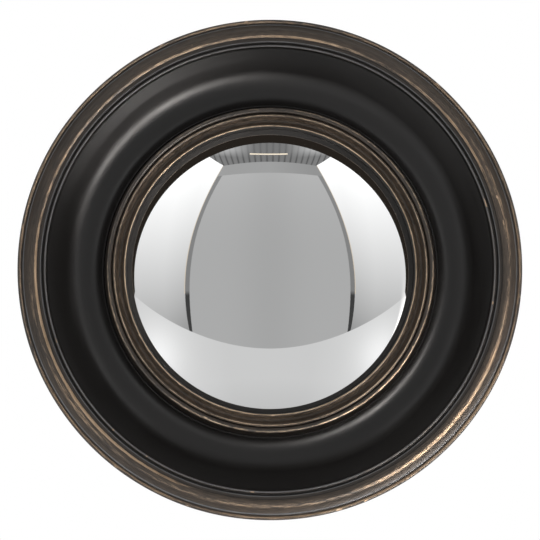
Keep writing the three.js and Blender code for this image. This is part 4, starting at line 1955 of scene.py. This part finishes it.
class Bearing(Enum):
    """How the corners of a studio surface are given."""

    COMPASS = "azimuth from straight ahead and elevation"
    OFF_AXIS = "angle away from straight ahead and clock angle from the right"


# The directions were taken from a nearer and slightly higher camera; this carries them over.
STUDIO_SPREAD = 0.9775
STUDIO_PITCH = 7.5 * DEGREE
STUDIO_LIFT = -0.54 * DEGREE

Corner = tuple[float, float]
Glow = Callable[[float, float], float]


@dataclass(frozen=True)
class Reflector:
    """One lit or grey surface of the studio, between two edges, that only light and gloss can see."""

    name: str
    first: Sequence[Corner]
    second: Sequence[Corner]
    glow: Glow
    tint: Colour = (1.0, 1.0, 1.0)
    distance: float = 3.4
    bearing: Bearing = Bearing.COMPASS
    steps: int = 48
    sheer: bool = False

    def _direction(self, corner: Corner) -> Vector:
        """Turns a corner into a direction.

        Args:
            corner: The corner, in degrees.

        Returns:
            The unit vector, straight ahead being -Y.
        """
        a, b = corner[0] * DEGREE, corner[1] * DEGREE
        if self.bearing is Bearing.COMPASS:
            a, b = a * STUDIO_SPREAD, (b - STUDIO_PITCH) * STUDIO_SPREAD + STUDIO_PITCH + STUDIO_LIFT
            return Vector((math.sin(a) * math.cos(b), -math.cos(a) * math.cos(b), math.sin(b)))
        return Vector((math.sin(a) * math.cos(b), -math.cos(a), math.sin(a) * math.sin(b)))

    @staticmethod
    def _along(edge: Sequence[Corner], share: float) -> Corner:
        """Gives the place at a share of an edge's corners.

        Args:
            edge: The edge.
            share: From 0 to 1.

        Returns:
            The corner there.
        """
        place = share * (len(edge) - 1)
        index = min(int(place), len(edge) - 2)
        t = place - index
        a, b = edge[index], edge[index + 1]
        return (a[0] + (b[0] - a[0]) * t, a[1] + (b[1] - a[1]) * t)

    def build(self, centre: Vector, material: bpy.types.Material) -> bpy.types.Object:
        """Builds the surface.

        Args:
            centre: The middle of the mirror.
            material: The glowing material, which reads its strength from the mesh.

        Returns:
            The new object.
        """
        points, strengths, faces = [], [], []
        for row in range(self.steps + 1):
            u = row / self.steps
            a, b = self._along(self.first, u), self._along(self.second, u)
            for column in range(self.steps + 1):
                v = column / self.steps
                corner = (a[0] + (b[0] - a[0]) * v, a[1] + (b[1] - a[1]) * v)
                points.append(centre + self._direction(corner) * self.distance)
                strengths.append(self.glow(*corner))
        width = self.steps + 1
        for row in range(self.steps):
            for column in range(self.steps):
                at = row * width + column
                faces.append((at, at + 1, at + width + 1, at + width))
        mesh = bpy.data.meshes.new(self.name)
        mesh.from_pydata(points, [], faces)
        glow = mesh.attributes.new("glow", "FLOAT_COLOR", "POINT")
        colours = np.array([[s * self.tint[0], s * self.tint[1], s * self.tint[2], 1.0] for s in strengths])
        glow.data.foreach_set("color", colours.astype(np.float32).ravel())
        mesh.materials.append(material)
        panel = linked(self.name, mesh)
        panel.visible_camera = False
        panel.visible_shadow = False
        return panel


def hump(a: float, b: float, middle_a: float, middle_b: float, width_a: float, width_b: float) -> float:
    """Gives the height at two angles of a soft round hump of height 1."""
    return math.exp(-(((a - middle_a) / width_a) ** 2) - ((b - middle_b) / width_b) ** 2)


def held(value: float) -> float:
    """Holds a value between 0 and 1."""
    return min(1.0, max(0.0, value))


def traced(
    curve: Callable[[float], float], start: float, end: float, turned: bool = False, steps: int = 60
) -> list[Corner]:
    """Samples an edge of a studio surface.

    Args:
        curve: The elevation at an azimuth, or the azimuth at an elevation.
        start: The first azimuth or elevation.
        end: The last one.
        turned: Whether the curve gives the azimuth.
        steps: The number of steps.

    Returns:
        The corners along it.
    """
    places = [start + (end - start) * step / steps for step in range(steps + 1)]
    return [(curve(p), p) if turned else (p, curve(p)) for p in places]


def even(level: float) -> Glow:
    """Makes the glow of an evenly lit surface."""
    return lambda first, second: level


def mirrored(edge: Sequence[Corner], side: int) -> list[Corner]:
    """Puts an edge on the left (-1) or keeps it on the right (1)."""
    return [(side * azimuth, elevation) for azimuth, elevation in edge]


@dataclass(frozen=True)
class Studio:
    """A plain studio round the mirror: grey backdrop, white flats, pale floor and soft lights.

    Angles are in degrees. The bent edges of its surfaces are curves that were fitted.
    """

    backdrop: float = 0.425
    room: float = 0.035
    # The next is the brightness of the sheet that paints the lip's reflection in the glass.
    shade: float = 0.02
    world: float = 0.7
    behind: float = 0.09
    floor_height: float = -1.31
    floor_lift: float = 0.35
    floor_reach: float = 9.0
    glass_front: float = 0.04  # how far the glass's middle lies before the flat back
    # The room: elevations, and azimuths on the right, which the left repeats.
    lowest: float = -34.0
    backdrop_end: float = 50.0
    flat_top: float = 72.0
    flat_end: float = 78.0
    joint: float = -1.9
    trim_width: float = 0.26
    ceiling_foot: Corner = (24.1, 48.7)
    ceiling_near: Corner = (40.1, 54.3)
    ceiling_top: float = 60.0
    tube_ends: Corner = (-11.3, 9.9)
    tube_rise: Corner = (54.1, 54.6)
    # The lights: angles off the axis, and clock angles from the right.
    key: float = 28.0
    key_tint: Colour = (1.0, 0.955, 0.915)
    key_ring: Corner = (51.6, 65.5)
    key_clocks: Corner = (-105.0, 15.0)
    fill: float = 1.1
    fill_tint: Colour = (1.0, 0.97, 0.95)
    fill_ring: Corner = (56.0, 96.0)
    fill_clocks: Corner = (-240.0, -92.0)
    # The dark brown sheet round the glass's top edge paints the reflection of the frame's lip.
    shade_tint: Colour = (1.0, 0.8, 0.64)
    shade_width: float = 9.0

    @staticmethod
    def _floor_edge(azimuth: float) -> float:
        """Returns the elevation of the floor's far edge."""
        return -24.3 + 0.0078 * azimuth * azimuth

    @staticmethod
    def _gap_inner(elevation: float) -> float:
        """Returns the azimuth of the backdrop's edge."""
        t = max(elevation + 6, 0.0)
        return 31.8 - 0.0018 * t * t - 0.0000305 * t**3

    @staticmethod
    def _gap_outer(elevation: float) -> float:
        """Returns the azimuth of the flat's inner edge."""
        return 33.6 - 0.0036 * (elevation + 3) ** 2

    @staticmethod
    def _backdrop_top(azimuth: float) -> float:
        """Returns the elevation of the backdrop's top."""
        return 46.2 - 0.0033 * azimuth * azimuth

    @staticmethod
    def _ceiling_edge(azimuth: float) -> float:
        """Returns the elevation of the ceiling's far edge."""
        return 51.0 - 0.0042 * azimuth * azimuth

    @staticmethod
    def _pelmet_top(azimuth: float) -> float:
        """Returns the elevation of the pelmet's top."""
        return 53.0 - 0.0042 * azimuth * azimuth

    @staticmethod
    def _pelmet(azimuth: float, elevation: float) -> float:
        """Returns the pelmet's brightness, a little paler on the left."""
        return 0.37 - 0.03 * held(abs(azimuth) / 20) - 0.0012 * azimuth

    @staticmethod
    def _shade_edge(clock: float) -> float:
        """Returns how far off axis the painted reflection of the frame's lip begins."""
        below = max(0.0, -clock, clock - 180)
        return 53.3 + 4.6 * math.sin(clock * DEGREE) + 0.3 * below

    def _backdrop(self, azimuth: float, elevation: float) -> float:
        """Returns the backdrop's brightness, a little darker down its middle and paler above."""
        high = held((elevation - 10) / 35)
        return self.backdrop * (1.02 + 0.14 * high * high - 0.08 * hump(azimuth, 0, 0, 0, 12, 1))

    @staticmethod
    def _flat(azimuth: float, elevation: float) -> float:
        """Returns a white flat's brightness, which falls off downwards and inwards."""
        inwards = held((42 - abs(azimuth)) / 9)
        return (0.612 + 0.0132 * elevation - 0.08 * inwards) * held((74 - abs(azimuth)) / 10)

    @staticmethod
    def _strip(azimuth: float, elevation: float) -> float:
        """Returns the brightness of the gap beside the backdrop, dark below its joint."""
        step = held((elevation + 1.9) / 0.6)
        return 0.05 + 0.17 * step + 0.001 * elevation * step

    @staticmethod
    def _ceiling(azimuth: float, elevation: float) -> float:
        """Works out the ribbed ceiling's brightness, paler towards its sides.

        Args:
            azimuth: The azimuth.
            elevation: The elevation.

        Returns:
            The brightness there.
        """
        spread = azimuth / (0.55 + 0.45 * held((elevation - 46) / 18))
        place = (spread / 4.55) % 1.0 - 0.5
        gap = math.exp(-((place / 0.13) ** 2)) * (1 - 0.55 * held((elevation - 51.5) / 5))
        near = held((elevation - 52.5) / 3) * held((abs(azimuth) - 10) / 16)
        return (0.2 + 0.03 * held(abs(azimuth) / 30)) * (1 - 0.62 * gap) + 0.3 * near

    def _floor(self, azimuth: float, elevation: float) -> float:
        """Works out the floor's brightness, with a pool of light on either side.

        Args:
            azimuth: The azimuth.
            elevation: The elevation.

        Returns:
            The brightness there.
        """
        near = held((-36 - elevation) / 14)
        base = 0.63 + 0.05 * held((abs(azimuth) - 18) / 16) - 0.08 * near
        return (base + 0.3 * hump(abs(azimuth), elevation, 48, -23, 10, 11)) * held((74 - abs(azimuth)) / 10)

    def _key(self, off: float, clock: float) -> float:
        """Returns the key light's brightness, soft at its edges."""
        inner, outer = held((off - self.key_ring[0]) / 3), held((self.key_ring[1] - off) / 6)
        return self.key * inner * outer * hump(clock, 0, -45, 0, 22, 1)

    def _fill(self, off: float, clock: float) -> float:
        """Returns the fill light's brightness, soft at its edges."""
        return self.fill * hump(off, clock, 70, -150, 12, 34)

    def _broad(self) -> list[Reflector]:
        """Lays out the dark room, the backdrop and the pelmet over it.

        Returns:
            Their surfaces.
        """
        right = traced(self._gap_inner, self.lowest, self.backdrop_end, turned=True)
        ends = (-26.0, 26.0)
        return [
            Reflector(
                "room_dark", [(-89, -88), (-89, 88)], [(89, -88), (89, 88)], even(self.room), distance=3.8
            ),
            Reflector(
                "room_behind", [(88.0, -180.0), (88.0, 180.0)], [(100.0, -180.0), (100.0, 180.0)],
                even(self.behind), distance=3.75, bearing=Bearing.OFF_AXIS, steps=72,
            ),
            Reflector("backdrop", mirrored(right, -1), right, self._backdrop, distance=3.5),
            Reflector(
                "pelmet", traced(self._backdrop_top, *ends), traced(self._pelmet_top, *ends),
                self._pelmet, distance=3.46,
            ),
        ]

    def _overhead(self) -> list[Reflector]:
        """Lays out the ribbed ceiling and its light tube.

        Returns:
            Their surfaces.
        """
        (foot, height), near, top = self.ceiling_foot, self.ceiling_near, self.ceiling_top
        start, end = self.tube_ends
        low, high = self.tube_rise
        made = [
            Reflector(
                "ceiling_far", traced(self._ceiling_edge, -foot, foot), [(-foot, top), (foot, top)],
                self._ceiling, distance=3.41, steps=140,
            )
        ]
        for side, name in ((-1, "left"), (1, "right")):
            outer = mirrored([self.ceiling_foot, near], side)
            inner = mirrored([(foot, height), (foot, top)], side)
            made.append(Reflector(f"ceiling_{name}", outer, inner, self._ceiling, distance=3.405, steps=90))
        edge = [near, (30.0, 75.0)]
        return [
            *made,
            Reflector("ceiling_near", mirrored(edge, -1), edge, self._ceiling, distance=3.404, steps=140),
            Reflector(
                "tube", [(start, low), (start, high)], [(end, low), (end, high)], even(1.15),
                tint=(1.0, 0.87, 0.69), distance=3.3,
            ),
        ]

    def _sides(self) -> list[Reflector]:
        """Lays out the flats, and the gaps and pale trims between them and the backdrop.

        Returns:
            Their surfaces.
        """
        low, high, joint, foot = self.lowest, self.backdrop_end, self.joint, self.ceiling_foot[1]
        inner = traced(self._gap_inner, low, high, turned=True)
        outer = traced(self._gap_outer, low, high, turned=True)
        far = traced(self._gap_outer, low, self.flat_top, turned=True)
        near = [(self.flat_end, low), (self.flat_end, self.flat_top)]
        trim = traced(self._gap_outer, joint, foot, turned=True)
        trim_end = [(azimuth + self.trim_width, elevation) for azimuth, elevation in trim]
        made = []
        for side, name in ((-1, "left"), (1, "right")):
            flat = mirrored(far, side), mirrored(near, side)
            gap = mirrored(inner, side), mirrored(outer, side)
            strip = mirrored(trim, side), mirrored(trim_end, side)
            made.append(Reflector(f"flat_{name}", *flat, self._flat, distance=3.42))
            made.append(Reflector(f"gap_{name}", *gap, self._strip, distance=3.48))
            made.append(Reflector(f"trim_{name}", *strip, even(0.72), tint=(1.0, 0.86, 0.68), distance=3.415))
        return made

    @staticmethod
    def _band(ring: Corner, clocks: Corner) -> tuple[list[Corner], list[Corner]]:
        """Returns the inner and the outer edge of a band round the axis."""
        return [(ring[0], clock) for clock in clocks], [(ring[1], clock) for clock in clocks]

    def _lights(self) -> list[Reflector]:
        """Lays out the soft lights, and a dark brown sheet that the glass shows round its top, a painted
        reflection of the frame's lip.

        Returns:
            Their surfaces.
        """
        axis = Bearing.OFF_AXIS
        key = self._band(self.key_ring, self.key_clocks)
        fill = self._band(self.fill_ring, self.fill_clocks)
        inner = traced(self._shade_edge, -12.0, 192.0, turned=True, steps=68)
        outer = [(off + self.shade_width, clock) for off, clock in inner]
        return [
            Reflector("key_light", *key, self._key, self.key_tint, 3.0, axis, sheer=True),
            # A dark brown sheet that paints the reflection of the frame's lip round the glass's top edge.
            Reflector(
                "painted_lip_reflection", inner, outer, even(self.shade), self.shade_tint, 2.9, axis, steps=120
            ),
            Reflector("fill_light", *fill, self._fill, self.fill_tint, 3.0, axis, sheer=True),
        ]

    def reflectors(self) -> list[Reflector]:
        """Lays out the whole studio.

        Returns:
            Every surface of it.
        """
        end = self.flat_end
        edges = [(-end, -80.0), (end, -80.0)], traced(self._floor_edge, -end, end)
        floor = Reflector("floor_pool", *edges, self._floor, distance=3.4, steps=90)
        return [*self._broad(), *self._overhead(), floor, *self._lights(), *self._sides()]

    @staticmethod
    def _glowing(sheer: bool) -> bpy.types.Material:
        """Makes the material whose strength is stored on the mesh.

        Args:
            sheer: Whether what lies behind is seen through it.

        Returns:
            The material.
        """
        t = Tree("studio_light" if sheer else "studio_surface")
        node = t.nodes.new("ShaderNodeAttribute")
        node.attribute_name = "glow"
        glow = t.nodes.new("ShaderNodeEmission")
        t.links.new(node.outputs["Color"], glow.inputs["Color"])
        result = glow.outputs["Emission"]
        if sheer:
            both = t.nodes.new("ShaderNodeAddShader")
            t.links.new(result, both.inputs[0])
            t.links.new(t.nodes.new("ShaderNodeBsdfTransparent").outputs["BSDF"], both.inputs[1])
            result = both.outputs["Shader"]
        t.links.new(result, t.output.inputs["Surface"])
        return t.material

    def _floor_plane(self, centre: Vector) -> None:
        """Lays the pale floor far below the mirror; it can't be seen from underneath.

        Args:
            centre: The middle of the mirror.
        """
        t = Tree("pale_floor")
        paint = t.nodes.new("ShaderNodeBsdfDiffuse")
        paint.inputs["Color"].default_value = (0.9, 0.9, 0.89, 1)
        clear = t.nodes.new("ShaderNodeBsdfTransparent")
        side = t.nodes.new("ShaderNodeNewGeometry")
        lift = t.nodes.new("ShaderNodeEmission")
        path = t.nodes.new("ShaderNodeLightPath")
        seen = t.sum("MULTIPLY", path.outputs["Is Camera Ray"], self.floor_lift)
        t.links.new(seen, lift.inputs["Strength"])
        both = t.nodes.new("ShaderNodeAddShader")
        t.links.new(paint.outputs["BSDF"], both.inputs[0])
        t.links.new(lift.outputs["Emission"], both.inputs[1])
        pick = t.nodes.new("ShaderNodeMixShader")
        t.links.new(side.outputs["Backfacing"], pick.inputs["Fac"])
        t.links.new(both.outputs["Shader"], pick.inputs[1])
        t.links.new(clear.outputs["BSDF"], pick.inputs[2])
        t.links.new(pick.outputs["Shader"], t.output.inputs["Surface"])
        mesh = bpy.data.meshes.new("floor")
        reach, height = self.floor_reach, centre.z + self.floor_height
        square = [(x * reach, y * reach, height) for x, y in ((-1, -1), (1, -1), (1, 1), (-1, 1))]
        mesh.from_pydata(square, [], [(0, 1, 2, 3)])
        mesh.materials.append(t.material)
        floor = linked("floor", mesh)
        floor.visible_glossy = False
        floor.visible_diffuse = False

    def _world(self) -> None:
        """Makes the world white for the camera and pale for everything else."""
        world = bpy.data.worlds.new("white")
        world.use_nodes = True
        nodes, links = world.node_tree.nodes, world.node_tree.links
        nodes.clear()
        output = nodes.new("ShaderNodeOutputWorld")
        path = nodes.new("ShaderNodeLightPath")
        seen, light = nodes.new("ShaderNodeBackground"), nodes.new("ShaderNodeBackground")
        pick = nodes.new("ShaderNodeMixShader")
        seen.inputs["Color"].default_value = (1, 1, 1, 1)
        seen.inputs["Strength"].default_value = 1.0
        light.inputs["Color"].default_value = (1, 1, 1, 1)
        light.inputs["Strength"].default_value = self.world
        shown = path.outputs["Is Camera Ray"]
        for ray in ("Is Glossy Ray", "Is Transmission Ray"):
            larger = nodes.new("ShaderNodeMath")
            larger.operation = "MAXIMUM"
            links.new(shown, larger.inputs[0])
            links.new(path.outputs[ray], larger.inputs[1])
            shown = larger.outputs["Value"]
        links.new(shown, pick.inputs["Fac"])
        links.new(light.outputs["Background"], pick.inputs[1])
        links.new(seen.outputs["Background"], pick.inputs[2])
        links.new(pick.outputs["Shader"], output.inputs["Surface"])
        bpy.context.scene.world = world

    def build(self, datum: Datum) -> None:
        """Builds the studio.

        Args:
            datum: Where the frame stands.
        """
        centre = Vector((datum.x, datum.y - self.glass_front, datum.z))
        solid, sheer = self._glowing(False), self._glowing(True)
        for reflector in self.reflectors():
            reflector.build(centre, sheer if reflector.sheer else solid)
        self._floor_plane(centre)
        self._world()
        bpy.context.scene.view_settings.view_transform = "Standard"


@dataclass(frozen=True)
class Viewpoint:
    """The camera's place: straight in front and a little below."""

    distance: float = 4.0
    elevation: float = -7.5
    target_height: float = 38.0
    target_drop: float = 1.13
    opening: float = 5.808

    def build(self, datum: Datum) -> None:
        """Places the camera.

        Args:
            datum: Where the frame stands.
        """
        target = datum.at(self.target_drop, self.target_height, math.pi)
        rise = self.elevation * DEGREE
        back = Vector((0, -math.cos(rise), math.sin(rise)))
        data = bpy.data.cameras.new("camera")
        data.angle = self.opening * DEGREE
        camera = bpy.data.objects.new("camera", data)
        bpy.context.scene.collection.objects.link(camera)
        camera.location = target + back * self.distance
        camera.rotation_mode = "QUATERNION"
        camera.rotation_quaternion = (-back).to_track_quat("-Z", "Y")
        bpy.context.scene.camera = camera


# ----------------------------------------
# The whole
# ----------------------------------------


def main() -> None:
    """Builds the mirror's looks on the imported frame, and the studio round it."""
    logging.basicConfig(level=logging.INFO, format="%(name)s: %(message)s")
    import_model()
    datum = Datum.of("frame_body")
    Viewpoint().build(datum)
    Studio().build(datum)
    FrameBody().build(datum)
    SightRing().build(datum)
    DomedGlass().build(datum)
    Closing().build(datum)
    zinc, brass = ZINC.make(), BRASS.make()
    Fastenings().build(datum, zinc)
    TurnButtons().build(datum, brass)
    Hanger().build(datum, zinc)
    WallBumpers().build(datum)
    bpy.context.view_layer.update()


if __name__ == "__main__":
    main()
